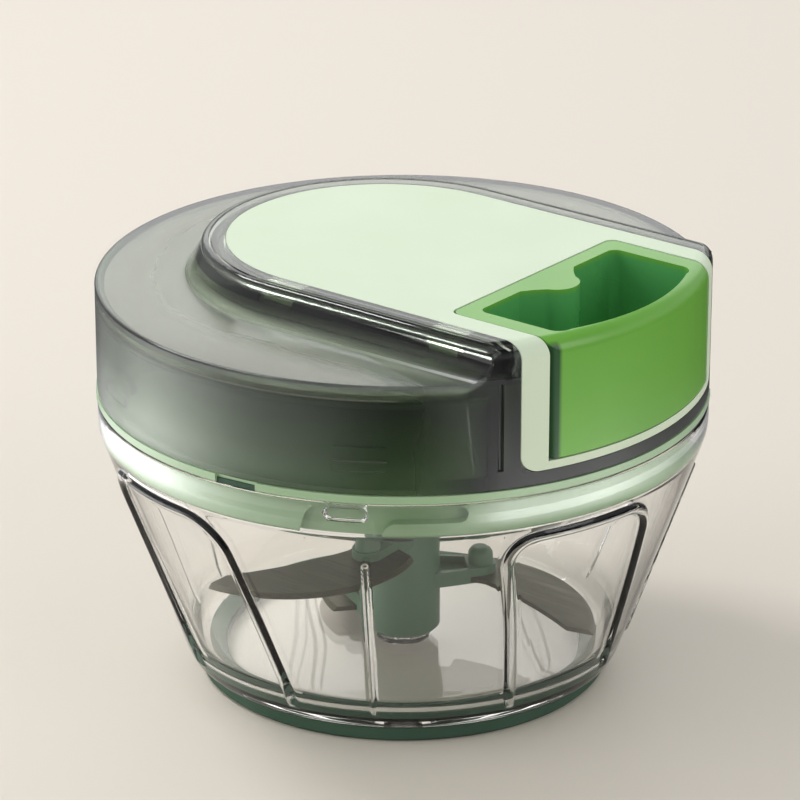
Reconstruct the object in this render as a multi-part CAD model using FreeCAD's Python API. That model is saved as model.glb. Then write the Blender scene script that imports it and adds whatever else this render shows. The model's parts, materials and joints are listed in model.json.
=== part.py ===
import FreeCAD, Part
import math
import os

# Pull-string food chopper: a clear bowl, and a drive unit that sets down on it and locks with a short turn.
# Pulling the green handle draws a cord off a drum, and the drum turns the blades through a one-way clutch.
# Millimetres. Origin at the centre of the foot, on the table. +Z up, +X the way the handle is pulled.

V = FreeCAD.Vector
Z_AXIS = V(0, 0, 1)
X_AXIS = V(1, 0, 0)
ORIGIN = V(0, 0, 0)

# Overall
LID_R = 62.5
BOWL_R = 62.5
TOTAL_H = 91.7
FIT = 0.05            # radial clearance of a running fit
SHUT_GAP = 0.35       # gap round the handle in its bay

# Bowl
RIM_Z = 60.0
RIM_WALL = 2.1
WALL = 2.3
SHOULDER_Z = 54.5
FOOT_Z = 3.2
FLOOR_Z = 4.6
UNDERSIDE_Z = 2.0
FOOT_R = 42.4
RING_INNER_R = 37.7
FLOOR_EDGE_R = 37.0   # flat of the floor inside, before it turns up into the wall
BOSS_R = 5.5
WALL_LOW = (45.6, 6.0)
WALL_HIGH = (61.9, 52.5)
WALL_TOP_INSIDE = (60.05, 52.2)
PANELS = 4
PANEL_TOP_Z = 50.8
PANEL_FOOT_Z = 6.2
PANEL_TOP_ANGLES = (-33.2, 0.5)
PANEL_FOOT_ANGLES = (-24.5, 9.8)
PANEL_CORNER = 7.5
PANEL_BEAD_R = 1.4
THIN_RIB_ANGLE = -59.2
THIN_RIB_R = 0.7
THIN_RIB_ENDS = (8.0, 46.5)

# Bayonet
BAYONETS = 3
LUG_ANGLE = -62.6
LOCKED_ANGLE = -44.2
LUG_LENGTH = 8.0
LUG_Z = (55.8, 58.4)
LUG_TIP_R = 57.95
BAND_R = 60.0
BAND_INNER_R = 56.6
CHANNEL_R = 57.75
BAND_Z = 52.8
FLANGE_R = 62.7
FLANGE_Z = (60.2, 62.0)

# Drive unit
COVER_Z = 62.05
DECK_TOP_Z = 84.5
COVER_WALL = 2.2
PLATE_HALF = 32.0
PLATE_END_X = -5.0
PLATE_BOTTOM_Z = 65.0
PLATE_THICK = 2.0
FRONT_ROUND = 3.5     # round where the plate turns down over the front
FRAME_ROUND = 3.4
CLIP_ENDS_X = ((-8.5, 0.0), (33.0, 40.7))
CLIP_Z = (86.2, 88.3)
SKIRT_OUTER = 1.8     # outside face of the frame's skirt, out from the plate's edge
SKIRT_LOW_Z = 85.5
MARK_ANGLE = -83.4
EAR_AT_R = 32.0
HOUSING_FLOOR_Z = (56.0, 58.0)
INNER_WALL_R = (57.2, 59.2)
INNER_WALL_TOP = 79.6

# Handle and its bay
HANDLE_HALF = 26.5
HANDLE_BACK_X = 32.5
HANDLE_BOTTOM_Z = 67.0
HANDLE_ROUND = 3.2    # top of its front
HANDLE_SIDE_ROUND = 1.75
HANDLE_BACK_ROUND = 2.0
HANDLE_FOOT_ROUND = 1.3
POCKET_HALF = 22.5
POCKET_BACK_X = 36.0
POCKET_FRONT_R = 60.0
POCKET_FLOOR_Z = 70.0
BULGE_X = 43.1
BULGE_HALF = 9.0

# Mechanism
CORD_D = 1.6
CORD_Z = 78.2
DRUM_CORE_R = 14.0
DRUM_FLANGE_R = 24.2
WIND_R = DRUM_CORE_R + CORD_D / 2 + FIT
WIND_PITCH = 2.1
WIND_TURNS = 4.25
INLET_RUN = 5.5       # straight cord from the core to its anchor lug
LUG_THICK = 2.0
EYELET_X = 27.6
CORD_BEND_R = 5.0
LEAD_END_X = 37.6
KNOT_HALF = 1.5
CAN_R = (25.2, 27.0)
CAN_Z = (62.0, 87.4)
TEETH = 12
TOOTH_R = (16.9, 18.8)
RATCHET_R = 21.5
RATCHET_Z = (60.9, 66.0)
SHAFT_TOP_R = 4.0
JOURNAL_R = 5.0
HEX_FLATS = 8.0

# Blades
HUB_R = 7.7
HUB_Z = (6.6, 52.4)
PIN_R = 2.5
PIN_TOP_Z = 16.6
PEG_R = 2.6
PEG_AT_R = 16.4
PEG_H = 3.4
ARM_THICK = 3.2
ARM_ROOT = 6.2        # half its width at the hub's axis
ARM_END = 3.2         # half its width at the peg
ARM_LIP = 0.95
TROUGH_DEPTH = 1.6
BLADE_IN_ARM = 0.4    # blade's underside above the arm's
BLADE_THICK = 1.0
BEVEL = 0.7
# name, arm angle, height of the arm's top, angle that the tip trails behind the arm, tip radius
BLADES = (
    ("upper_blade", -78.0, 30.4, 28.4, 47.6),
    ("middle_blade", 45.3, 19.8, 42.8, 46.2),
    ("lower_blade", 165.0, 9.8, 34.0, 41.9),
)


def polar(r, degrees, z=0.0):
    """The point at radius r and angle in degrees, at height z."""
    a = math.radians(degrees)
    return V(r * math.cos(a), r * math.sin(a), z)


def closed_outline(start, steps, place):
    """A face from a start and its steps: a pair is a line's end, two pairs are an arc's middle and end."""
    edges = []
    here = place(*start)
    for step in steps:
        if isinstance(step[0], tuple):
            middle, end = place(*step[0]), place(*step[1])
            edges.append(Part.Arc(here, middle, end).toShape())
        else:
            end = place(*step)
            edges.append(Part.makeLine(here, end))
        here = end
    if here.distanceToPoint(place(*start)) > 1e-6:
        edges.append(Part.makeLine(here, place(*start)))
    return Part.Face(Part.Wire(edges))


def turned(start, *steps):
    """A body of revolution about Z from an outline in radius and height."""
    face = closed_outline(start, steps, lambda r, z: V(r, 0, z))
    return face.revolve(ORIGIN, Z_AXIS, 360)


def tube(r_in, r_out, z0, z1):
    """A plain ring, or a disc where r_in is 0."""
    outer = Part.makeCylinder(r_out, z1 - z0, V(0, 0, z0))
    if r_in <= 0:
        return outer
    return outer.cut(Part.makeCylinder(r_in, z1 - z0, V(0, 0, z0)))


def plan_prism(start, *steps, z0, z1):
    """A plan outline in x and y, raised from z0 to z1."""
    face = closed_outline(start, steps, lambda x, y: V(x, y, z0))
    return face.extrude(V(0, 0, z1 - z0))


def box(x0, x1, y0, y1, z0, z1):
    """A block between its limits."""
    return Part.makeBox(x1 - x0, y1 - y0, z1 - z0, V(x0, y0, z0))


def around(shape, count, step=None):
    """Copies of a shape, evenly spaced about Z."""
    step = step or 360.0 / count
    copies = []
    for k in range(count):
        copy = shape.copy()
        copy.rotate(ORIGIN, Z_AXIS, k * step)
        copies.append(copy)
    return copies


def fused(*shapes):
    """All the shapes as one body."""
    return shapes[0].multiFuse(list(shapes[1:])).removeSplitter()


def radial_prism(start, *steps, angle, r0, r1):
    """An outline in sideways distance and height, seen from outside at this angle, carried out from r0 to r1."""
    face = closed_outline(start, steps, lambda u, z: V(r0, u, z))
    solid = face.extrude(V(r1 - r0, 0, 0))
    solid.rotate(ORIGIN, Z_AXIS, angle)
    return solid


def round_edges(shape, radius, picked):
    """Rounds the edges whose two ends satisfy the test."""
    edges = []
    for edge in shape.Edges:
        points = [vertex.Point for vertex in edge.Vertexes]
        if len(points) == 2 and all(picked(p) for p in points):
            edges.append(edge)
    return shape.makeFillet(radius, edges)


def only_solid(shape):
    """The one solid of a result, with its seams cleaned."""
    shape = shape.removeSplitter()
    solids = shape.Solids
    if len(solids) != 1:
        raise ValueError("expected one solid, got %d" % len(solids))
    return solids[0]


def wall_radius(z):
    """The outer radius of the bowl's conical wall at a height."""
    (low_r, low_z), (high_r, high_z) = WALL_LOW, WALL_HIGH
    return low_r + (z - low_z) * (high_r - low_r) / (high_z - low_z)


def blend_arcs(p0, t0, p1, t1):
    """Two arcs from p0 to p1 that leave along t0, arrive along t1 and share a tangent where they meet."""
    t0, t1 = V(t0).normalize(), V(t1).normalize()
    v = p1 - p0
    along = v.dot(t0 + t1)
    open_angle = 2 * (1 - t0.dot(t1))
    if open_angle < 1e-9:
        return [Part.LineSegment(p0, p1)]
    reach = (math.sqrt(along ** 2 + open_angle * v.dot(v)) - along) / open_angle
    q0, q1 = p0 + t0 * reach, p1 - t1 * reach
    joint = (q0 + q1) * 0.5
    return [tangent_arc(p0, q0, joint), tangent_arc(joint, q1, p1)]


def arc_middle(a, apex, b):
    """Middle of the arc from a to b whose end tangents meet at the apex, equally far from both."""
    middle = (a + b) * 0.5
    cosine = (b - a).Length / 2 / (apex - a).Length
    return middle + (apex - middle) * (cosine / (1 + cosine))


def tangent_arc(a, apex, b):
    """The arc from a to b whose end tangents meet at the apex."""
    return Part.Arc(a, arc_middle(a, apex, b), b)


def rod(curves, radius, sides=8):
    """A rod with this many flats along the curves."""
    start, direction = start_of(curves[0])
    across = direction.cross(Z_AXIS if abs(direction.z) < 0.9 else X_AXIS).normalize()
    other = direction.cross(across)
    corners = []
    for k in range(sides + 1):
        a = 2 * math.pi * (k % sides + 0.5) / sides
        corners.append(start + (across * math.cos(a) + other * math.sin(a)) * radius)
    section = Part.makePolygon(corners)
    path = Part.Wire([curve.toShape() for curve in curves])
    return path.makePipeShell([section], True, False)


def bowl_surface_point(degrees, z, sink=0.0):
    """A point on the bowl's outer wall, sunk in by a little."""
    return polar(wall_radius(z) - sink, degrees, z)


def panel_side_angle(side, z):
    """The angle of a grip panel's side at a height: the sides lean a little round the bowl."""
    share = (z - PANEL_FOOT_Z) / (PANEL_TOP_Z - PANEL_FOOT_Z)
    return PANEL_FOOT_ANGLES[side] + share * (PANEL_TOP_ANGLES[side] - PANEL_FOOT_ANGLES[side])


def panel_bead():
    """The raised rounded outline of one grip panel: up one side, across the top and down the other."""
    sink = PANEL_BEAD_R * 0.35

    def side_point(side, z):
        return bowl_surface_point(panel_side_angle(side, z), z, sink)

    corner_z = PANEL_TOP_Z - PANEL_CORNER
    corner_turn = math.degrees(PANEL_CORNER / wall_radius(PANEL_TOP_Z))
    sides = []
    for side in (0, 1):
        middle_z = (PANEL_FOOT_Z + corner_z) / 2
        points = [side_point(side, z) for z in (PANEL_FOOT_Z, middle_z, corner_z)]
        sides.append(Part.Arc(*points))
    first, last = PANEL_TOP_ANGLES[0] + corner_turn, PANEL_TOP_ANGLES[1] - corner_turn
    top_points = [bowl_surface_point(a, PANEL_TOP_Z, sink) for a in (first, (first + last) / 2, last)]
    top = Part.Arc(*top_points)
    up_end, up_dir = end_of(sides[0])
    down_end, down_dir = end_of(sides[1])
    top_start, top_dir = start_of(top)
    top_end, top_out = end_of(top)
    down = Part.Arc(*[side_point(1, z) for z in (corner_z, (PANEL_FOOT_Z + corner_z) / 2, PANEL_FOOT_Z)])
    curves = [sides[0]] + blend_arcs(up_end, up_dir, top_start, top_dir) + [top]
    curves += blend_arcs(top_end, top_out, down_end, down_dir * -1) + [down]
    return rod(curves, PANEL_BEAD_R)


def start_of(curve):
    """A curve's first point and direction."""
    return curve.value(curve.FirstParameter), V(*curve.tangent(curve.FirstParameter)[0])


def end_of(curve):
    """A curve's last point and direction."""
    return curve.value(curve.LastParameter), V(*curve.tangent(curve.LastParameter)[0])


def bowl():
    """Clear tapered bowl with raised grip panels, thin ribs between them, a centre boss and bayonet lugs."""
    foot_turn = (FOOT_R + 2.3, FOOT_Z + 0.75)
    outer = turned(
        (0, UNDERSIDE_Z), (RING_INNER_R, UNDERSIDE_Z), (RING_INNER_R, FOOT_Z), (FOOT_R, FOOT_Z),
        (foot_turn, WALL_LOW), WALL_HIGH, (BOWL_R, SHOULDER_Z), (BOWL_R, RIM_Z - 0.4),
        (BOWL_R - 0.4, RIM_Z), (0, RIM_Z),
    )
    low = (wall_radius(11.0) - WALL, 11.0)
    inner_rim = BOWL_R - RIM_WALL
    inner = turned(
        (0, FLOOR_Z), (FLOOR_EDGE_R, FLOOR_Z), ((FLOOR_EDGE_R + 4.7, FLOOR_Z + 1.8), low), WALL_TOP_INSIDE,
        (inner_rim, BAND_Z + 0.2), (inner_rim, RIM_Z + 1), (0, RIM_Z + 1),
    )
    beads = around(panel_bead(), PANELS)
    z0, z1 = THIN_RIB_ENDS
    rib_path = Part.LineSegment(*[bowl_surface_point(THIN_RIB_ANGLE, z, 0.1) for z in (z0, z1)])
    ribs = around(rod([rib_path], THIN_RIB_R, 6), PANELS)
    shell = fused(outer, *beads, *ribs).cut(inner)
    boss = Part.makeCylinder(BOSS_R, 1.6, V(0, 0, FLOOR_Z - 0.8))
    lug = bayonet_lug()
    shell = fused(shell, boss, *around(lug, BAYONETS))
    pin_hole = Part.makeCylinder(PIN_R, 5, V(0, 0, UNDERSIDE_Z + 0.6))
    return only_solid(shell.cut(pin_hole))


def bayonet_lug():
    """A rounded bar inside the rim that the band's channel slides over."""
    half, r = LUG_LENGTH / 2, (LUG_Z[1] - LUG_Z[0]) / 2
    z = sum(LUG_Z) / 2
    bar = radial_prism(
        (-half + r, z - r), (half - r, z - r), ((half, z), (half - r, z + r)), (-half + r, z + r),
        ((-half, z), (-half + r, z - r)), angle=LUG_ANGLE, r0=LUG_TIP_R - 2, r1=BOWL_R,
    )
    return bar.common(tube(LUG_TIP_R, BOWL_R - RIM_WALL / 2, LUG_Z[0] - 1, LUG_Z[1] + 1))


def anti_slip_ring():
    """Silicone foot ring, rounded where it meets the table."""
    soft = 0.7
    return turned(
        (RING_INNER_R, FOOT_Z), (RING_INNER_R, soft), (RING_INNER_R + soft, 0), (FOOT_R - soft, 0),
        (FOOT_R, soft), (FOOT_R, FOOT_Z),
    )


def rounded_top(r, top, round_r):
    """Steps of an outline that goes up at radius r, round its top edge and in to the axis."""
    slope = round_r * (1 - math.sqrt(0.5))
    return (r, top - round_r), ((r - slope, top - slope), (r - round_r, top)), (0, top)


def centre_pin():
    """Steel pin with a rounded top that carries the blade hub."""
    z0 = UNDERSIDE_Z + 0.6
    return turned((0, z0), (PIN_R, z0), *rounded_top(PIN_R, PIN_TOP_Z, 1.5))


def lid_seal():
    """Thin sealing ring in a groove under the flange."""
    return tube(60.65, 61.95, RIM_Z + 0.05, FLANGE_Z[0] + 0.9)


def bayonet_channel():
    """The L-shaped way in the band: a mouth at the bottom, then along to a rounded closed end."""
    middle = -56.0

    def side(degrees):
        return BAND_R * math.sin(math.radians(degrees - middle))

    top, lip = LUG_Z[1] + 0.3, LUG_Z[0] - 0.3
    end = LOCKED_ANGLE + math.degrees((LUG_LENGTH / 2 + 0.35) / BAND_R)
    end_r = (top - lip) / 2
    prism = radial_prism(
        (side(-71.6), BAND_Z - 1), (side(-70.6), lip), ((side(-69.3), top - 0.9), (side(-67.0), top)),
        (side(end) - end_r, top), ((side(end), (top + lip) / 2), (side(end) - end_r, lip)),
        (side(-53.6), lip), ((side(-55.2), lip - 0.9), (side(-55.9), BAND_Z - 1)),
        angle=middle, r0=CHANNEL_R - 6, r1=FLANGE_R,
    )
    return prism.common(tube(CHANNEL_R, FLANGE_R, BAND_Z - 1, top + 1))


def lower_housing():
    """Flange and band with the bayonet channels, a floor with the bearing collar, and the hidden inner wall."""
    wall_in, wall_out = INNER_WALL_R
    floor_low, floor_high = HOUSING_FLOOR_Z
    collar_r, bush_r, collar_low, collar_high = 12.5, 7.5, 53.6, 60.2
    body = turned(
        (BAND_INNER_R, BAND_Z), (BAND_R - 0.5, BAND_Z), (BAND_R, BAND_Z + 0.5), (BAND_R, FLANGE_Z[0]),
        (FLANGE_R - 0.3, FLANGE_Z[0]), (FLANGE_R, FLANGE_Z[0] + 0.3), (FLANGE_R, FLANGE_Z[1]),
        (wall_out, FLANGE_Z[1]), (wall_out, INNER_WALL_TOP), (wall_in, INNER_WALL_TOP), (wall_in, floor_high),
        (collar_r, floor_high), (collar_r, collar_high), (bush_r, collar_high), (bush_r, collar_low),
        (collar_r, collar_low), (collar_r, floor_low), (BAND_INNER_R, floor_low),
    )
    seal_groove = tube(60.6, 62.0, FLANGE_Z[0] - 0.1, FLANGE_Z[0] + 0.95)
    body = body.cut(seal_groove)
    for channel in around(bayonet_channel(), BAYONETS):
        body = body.cut(channel)
    low, high = FLANGE_Z[0] - 0.2, FLANGE_Z[1] + 0.1
    mark = radial_prism(
        (-4.6, low), (4.6, low), (4.6, high), (-4.6, high), angle=MARK_ANGLE, r0=FLANGE_R - 1.1, r1=FLANGE_R + 1)
    for notch in around(mark, BAYONETS):
        body = body.cut(notch)
    hooks = around(sector(wall_out - 0.4, wall_out + 0.75, 69.0, 71.0, -5, 5), 6)
    hooks = [hook for hook in hooks if hook.BoundBox.XMax < 50]    # none in the handle's bay
    bosses = around(Part.makeCylinder(3.4, 4.4, polar(EAR_AT_R, 60, floor_high - 0.4)), 3)
    stiffeners = around(box(29.0, wall_in + 0.5, -0.7, 0.7, floor_high - 0.3, floor_high + 3), 6)
    body = fused(body, *hooks, *bosses, *stiffeners)
    bay_room = box(27.0, 70.0, -PLATE_HALF - 2, PLATE_HALF + 2, PLATE_BOTTOM_Z - 1.2, TOTAL_H)
    body = body.cut(bay_room)
    holes = around(Part.makeCylinder(1.25, 5.0, polar(EAR_AT_R, 60, floor_high)), 3)
    for hole in holes:
        body = body.cut(hole)
    return only_solid(body)


def sector(r_in, r_out, z0, z1, first, last):
    """Part of a ring between two angles."""
    ring = Part.makeCylinder(r_out, z1 - z0, V(0, 0, z0), Z_AXIS, last - first)
    ring = ring.cut(Part.makeCylinder(r_in, z1 - z0, V(0, 0, z0)))
    ring.rotate(ORIGIN, Z_AXIS, first)
    return ring


def inner_deck():
    """Deck on the inner wall, open for the drum housing and the handle bay."""
    z0 = INNER_WALL_TOP
    deck = tube(CAN_R[1] + 0.3, INNER_WALL_R[1], z0, z0 + 1.6)
    lip = tube(INNER_WALL_R[0] - 1.4, INNER_WALL_R[0] - 0.1, z0 - 2.0, z0 + 0.1)
    deck = fused(deck, lip)
    deck = deck.cut(box(20.0, 70.0, -PLATE_HALF - 2, PLATE_HALF + 2, z0 - 5, z0 + 5))
    return only_solid(deck)


def front_envelope(radius, top, rounding):
    """A turned block that trims a piece to the lid's cylinder, with a rounded top edge."""
    slope = rounding * (1 - math.sqrt(0.5))
    return turned(
        (0, 50), (radius, 50), (radius, top - rounding), ((radius - slope, top - slope), (radius - rounding, top)),
        (0, top),
    )


# Outside of the boss frame, out from the plate's edge: flat band, fine groove, rounded edge, hollow flank
BOSS_OUTER = (
    (3.0, TOTAL_H), (3.15, TOTAL_H - 0.35), (3.45, TOTAL_H - 0.35), (3.6, TOTAL_H),
    ((4.75, TOTAL_H - 0.45), (5.1, TOTAL_H - 1.5)), ((5.75, TOTAL_H - 5.1), (8.4, DECK_TOP_Z)),
)


def boss_profile(place):
    """Section of the boss frame: a skin under the outside line, with a short skirt that clips to the plate."""
    top, deck = TOTAL_H, DECK_TOP_Z
    skin = COVER_WALL - 0.2
    steps = BOSS_OUTER + (
        (8.4, deck - skin), (7.2, deck - skin),
        ((4.35, deck + 0.1), (3.1, top - 3.2)), (SKIRT_OUTER, top - PLATE_THICK - 0.2), (SKIRT_OUTER, SKIRT_LOW_Z),
        (0.5, SKIRT_LOW_Z), (0.5, top - PLATE_THICK - 0.2), (0.12, top - PLATE_THICK),
    )
    return closed_outline((0.12, top), steps, place)


def smoke_cover():
    """Smoke-tinted cover: round wall and deck, with the raised frame that runs out over the front."""
    deck, rounding, wall_in = DECK_TOP_Z, 1.3, LID_R - COVER_WALL
    slope = rounding * (1 - math.sqrt(0.5))
    shell = turned(
        (wall_in, COVER_Z), (LID_R - 0.25, COVER_Z), (LID_R, COVER_Z + 0.25), (LID_R, deck - rounding),
        ((LID_R - slope, deck - slope), (LID_R - rounding, deck)), (0, deck), (0, deck - COVER_WALL),
        (wall_in - 0.8, deck - COVER_WALL), (wall_in, deck - COVER_WALL - 0.8),
    )
    foot = PLATE_HALF + 7.6
    shell = shell.cut(stadium(foot, deck - 5, deck + 5))
    straight = boss_profile(lambda d, z: V(PLATE_END_X, -PLATE_HALF - d, z))
    side = straight.extrude(V(LID_R + 8, 0, 0))
    end = straight.revolve(V(PLATE_END_X, 0, 0), Z_AXIS, -180)
    end_low = deck - 5.5
    filled = closed_outline(
        (0.15, TOTAL_H - 0.5), BOSS_OUTER[2:] + ((8.4, end_low), (0.15, end_low)),
        lambda d, z: V(20, -PLATE_HALF - d, z),
    )
    end_wall = filled.extrude(V(LID_R, 0, 0)).common(tube(wall_in, LID_R + 1, end_low - 1, TOTAL_H))
    frame = fused(end, side, side.mirror(ORIGIN, V(0, 1, 0)), end_wall, end_wall.mirror(ORIGIN, V(0, 1, 0)))
    frame = frame.common(front_envelope(LID_R, TOTAL_H, FRAME_ROUND))
    body = fused(shell, frame)
    opening = box(20, 75, -PLATE_HALF - 0.15, PLATE_HALF + 0.15, PLATE_BOTTOM_Z - 0.15, TOTAL_H + 1)
    opening = round_edges(opening, FRONT_ROUND, lambda p: p.z < PLATE_BOTTOM_Z and p.x > 0 and abs(p.y) > 1)
    body = body.cut(opening)
    for hand in (-1, 1):
        y0, y1 = sorted((hand * (PLATE_HALF + 0.15), hand * (PLATE_HALF + 1.6)))
        jamb = box(50.0, 60.0, y0, y1, PLATE_BOTTOM_Z + 1, deck - 1)
        jamb = jamb.common(tube(0, wall_in + 0.2, 60, 90))
        body = fused(body, jamb)
        groove = Part.makeCylinder(0.6, deck - PLATE_BOTTOM_Z - 1.5, V(51.55, hand * 35.6, PLATE_BOTTOM_Z + 1))
        body = body.cut(groove)
    reach = PLATE_HALF + SKIRT_OUTER + 0.1
    for x0, x1 in CLIP_ENDS_X:
        window = box(x0 - 0.2, x1 + 0.2, -reach, reach, CLIP_Z[0] - 0.3, CLIP_Z[1] + 0.3)
        body = body.cut(window.cut(box(x0 - 1, x1 + 1, -PLATE_HALF - 0.2, PLATE_HALF + 0.2, deck, TOTAL_H)))
    beads = [sector(wall_in - 0.85, wall_in + 0.2, 66.6, 68.6, a - 5, a + 5) for a in (60, 120, 180, 240, 300)]
    return only_solid(fused(body, *beads))


def frame_gasket():
    """Dark strip round the frame's skirt, inside the flank, notched where the plate's clips come through."""
    face, back, top = PLATE_HALF + SKIRT_OUTER, PLATE_HALF + SKIRT_OUTER + 0.9, CLIP_Z[1] + 0.1
    low, web_top, front_x = SKIRT_LOW_Z - 0.9, SKIRT_LOW_Z + 0.5, 48.0
    strip = stadium(back, low, top).cut(stadium(face, low - 1, top + 1))
    strip = strip.cut(box(front_x, LID_R + 10, -back - 1, back + 1, low - 1, top + 1))
    for x0, x1 in CLIP_ENDS_X:
        strip = strip.cut(box(x0 - 0.2, x1 + 0.2, -back - 1, back + 1, web_top, top + 1))
    return only_solid(strip)


def stadium(half, z0, z1):
    """A plan with a round back end and straight sides that run out past the front."""
    far = LID_R + 8
    return plan_prism(
        (PLATE_END_X, -half), (far, -half), (far, half), (PLATE_END_X, half),
        ((PLATE_END_X - half, 0), (PLATE_END_X, -half)), z0=z0, z1=z1,
    )


def top_plate():
    """Pale plate with a round back end that wraps down over the front and carries the open handle bay."""
    half = PLATE_HALF
    under = TOTAL_H - PLATE_THICK
    bay_wall = 1.6
    skin = stadium(half, under, TOTAL_H)
    skirt = stadium(half - 0.05, 85.2, under + 0.1).cut(stadium(half - 1.5, 85.0, under + 0.2))
    bay_back = HANDLE_BACK_X - SHUT_GAP
    front = box(bay_back - bay_wall, LID_R + 6, -half + 0.01, half - 0.01, PLATE_BOTTOM_Z, TOTAL_H - 0.5)
    front = round_edges(front, FRONT_ROUND, lambda p: p.z < PLATE_BOTTOM_Z + 0.1)
    body = fused(skin, skirt, front)
    bay_half = HANDLE_HALF + SHUT_GAP
    bay = box(bay_back, LID_R + 8, -bay_half, bay_half, HANDLE_BOTTOM_Z - SHUT_GAP, TOTAL_H + 2)
    bay = round_edges(bay, 2.2, lambda p: p.x < bay_back + 0.1)
    body = body.cut(bay)
    for hand in (-1, 1):
        y0, y1 = sorted((hand * (bay_half + bay_wall), hand * (half - 1.6)))
        body = body.cut(box(bay_back, 53.0, y0, y1, PLATE_BOTTOM_Z - 1, under))
    hooks = []
    for x0, x1 in CLIP_ENDS_X:
        for hand in (-1, 1):
            y0, y1 = sorted((hand * (half - 0.8), hand * (half + 1.5)))
            hooks.append(box(x0, x1, y0, y1, *CLIP_Z))
    body = fused(body, *hooks).common(front_envelope(LID_R, TOTAL_H, FRONT_ROUND))
    eyelet_hole = Part.makeCylinder(3.0, 6.0, V(bay_back - 3, 0, CORD_Z), X_AXIS)
    return only_solid(body.cut(eyelet_hole))


def pull_handle():
    """Green handle, flush with the front, with a finger pocket and a bulge that anchors the cord."""
    half, back, far, top = HANDLE_HALF, HANDLE_BACK_X, LID_R + 6, TOTAL_H - 0.1
    corner_angle = math.asin(half / LID_R)
    corner = V(LID_R * math.cos(corner_angle), half, 0)
    on_front = polar(LID_R, math.degrees(corner_angle - HANDLE_SIDE_ROUND / LID_R))
    on_side = corner - X_AXIS * HANDLE_SIDE_ROUND
    bend = arc_middle(on_side, corner, on_front)
    turn_in = HANDLE_BACK_ROUND
    middle = turn_in * (1 - math.sqrt(0.5))
    plan = plan_prism(
        (back, half - turn_in), (back, turn_in - half), ((back + middle, middle - half), (back + turn_in, -half)),
        (on_side.x, -half), ((bend.x, -bend.y), (on_front.x, -on_front.y)), (far, -on_front.y),
        (far, on_front.y), (on_front.x, on_front.y), ((bend.x, bend.y), (on_side.x, half)),
        (back + turn_in, half), ((back + middle, half - middle), (back, half - turn_in)),
        z0=HANDLE_BOTTOM_Z, z1=top,
    )
    block = box(back, far, -half, half, HANDLE_BOTTOM_Z, top)
    block = round_edges(block, HANDLE_FOOT_ROUND, lambda p: p.z < HANDLE_BOTTOM_Z + 0.1 and abs(p.y) > 1)
    block = block.common(plan).common(front_envelope(LID_R, top, HANDLE_ROUND))
    front_mid = POCKET_FRONT_R
    corner_y = POCKET_HALF - 3.0
    corner_x = math.sqrt(front_mid ** 2 - corner_y ** 2) - 0.8
    side_x = corner_x - 3.6
    b, w = BULGE_X, BULGE_HALF
    s = POCKET_BACK_X
    pocket = plan_prism(
        (s, -w), ((s + 1.9, -w + 2.6), (s + 3.6, -w + 4.4)), ((b - 0.2, 0), (s + 3.6, w - 4.4)),
        ((s + 1.9, w - 2.6), (s, w)), (s, POCKET_HALF - 2), ((s + 0.6, POCKET_HALF - 0.6), (s + 2, POCKET_HALF)),
        (side_x, POCKET_HALF), ((corner_x - 0.6, POCKET_HALF - 1.2), (corner_x, corner_y)),
        ((front_mid, 0), (corner_x, -corner_y)),
        ((corner_x - 0.6, -POCKET_HALF + 1.2), (side_x, -POCKET_HALF)), (s + 2, -POCKET_HALF),
        ((s + 0.6, -POCKET_HALF + 0.6), (s, -POCKET_HALF + 2)), z0=POCKET_FLOOR_Z, z1=TOTAL_H + 1,
    )
    knot_room = Part.makeCylinder(2.3, CORD_Z + 2.4 - HANDLE_BOTTOM_Z + 1, V(39.0, 0, HANDLE_BOTTOM_Z - 1))
    cord_hole = Part.makeCylinder(CORD_D / 2 + 0.15, 6.0, V(back - 1, 0, CORD_Z), X_AXIS)
    return only_solid(block.cut(pocket).cut(knot_room).cut(cord_hole))


def drum_housing():
    """Can round the drum and the spring, with windows, three screw ears and a notch for the spring's outer end."""
    r_in, r_out = CAN_R
    z0, z1 = CAN_Z
    can = tube(r_in, r_out, z0, z1)
    ear = box(r_in + 0.5, EAR_AT_R, -3.4, 3.4, z0, z0 + 2.4)
    ear = ear.fuse(Part.makeCylinder(3.4, 2.4, V(EAR_AT_R, 0, z0)))
    ear.rotate(ORIGIN, Z_AXIS, 60)
    body = fused(can, *around(ear, 3))
    holes = around(Part.makeCylinder(1.6, 6, polar(EAR_AT_R, 60, z0 - 1)), 3)
    window = radial_prism((-6, 67), (6, 67), (6, 78.5), (-6, 78.5), angle=90, r0=20, r1=32)
    windows = around(window, 5, 45)
    cord_window = box(15, 40, -9, 5, CORD_Z - 3.5, CORD_Z + 2.6)
    notch = box(-r_out + 0.8, -r_in + 1, -0.15, 0.6, 81.3, z1 + 1)
    for cutter in holes + windows + [cord_window, notch]:
        body = body.cut(cutter)
    return only_solid(body)


def spring_cap():
    """Lid of the can, with a seat for the upper bush."""
    z = CAN_Z[1]
    return turned(
        (6.0, z - 0.9), (8.2, z - 0.9), (8.2, z), (CAN_R[1], z), (CAN_R[1], z + 1.2), (CAN_R[1] - 0.6, z + 1.8),
        (6.0, z + 1.8),
    )


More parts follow.
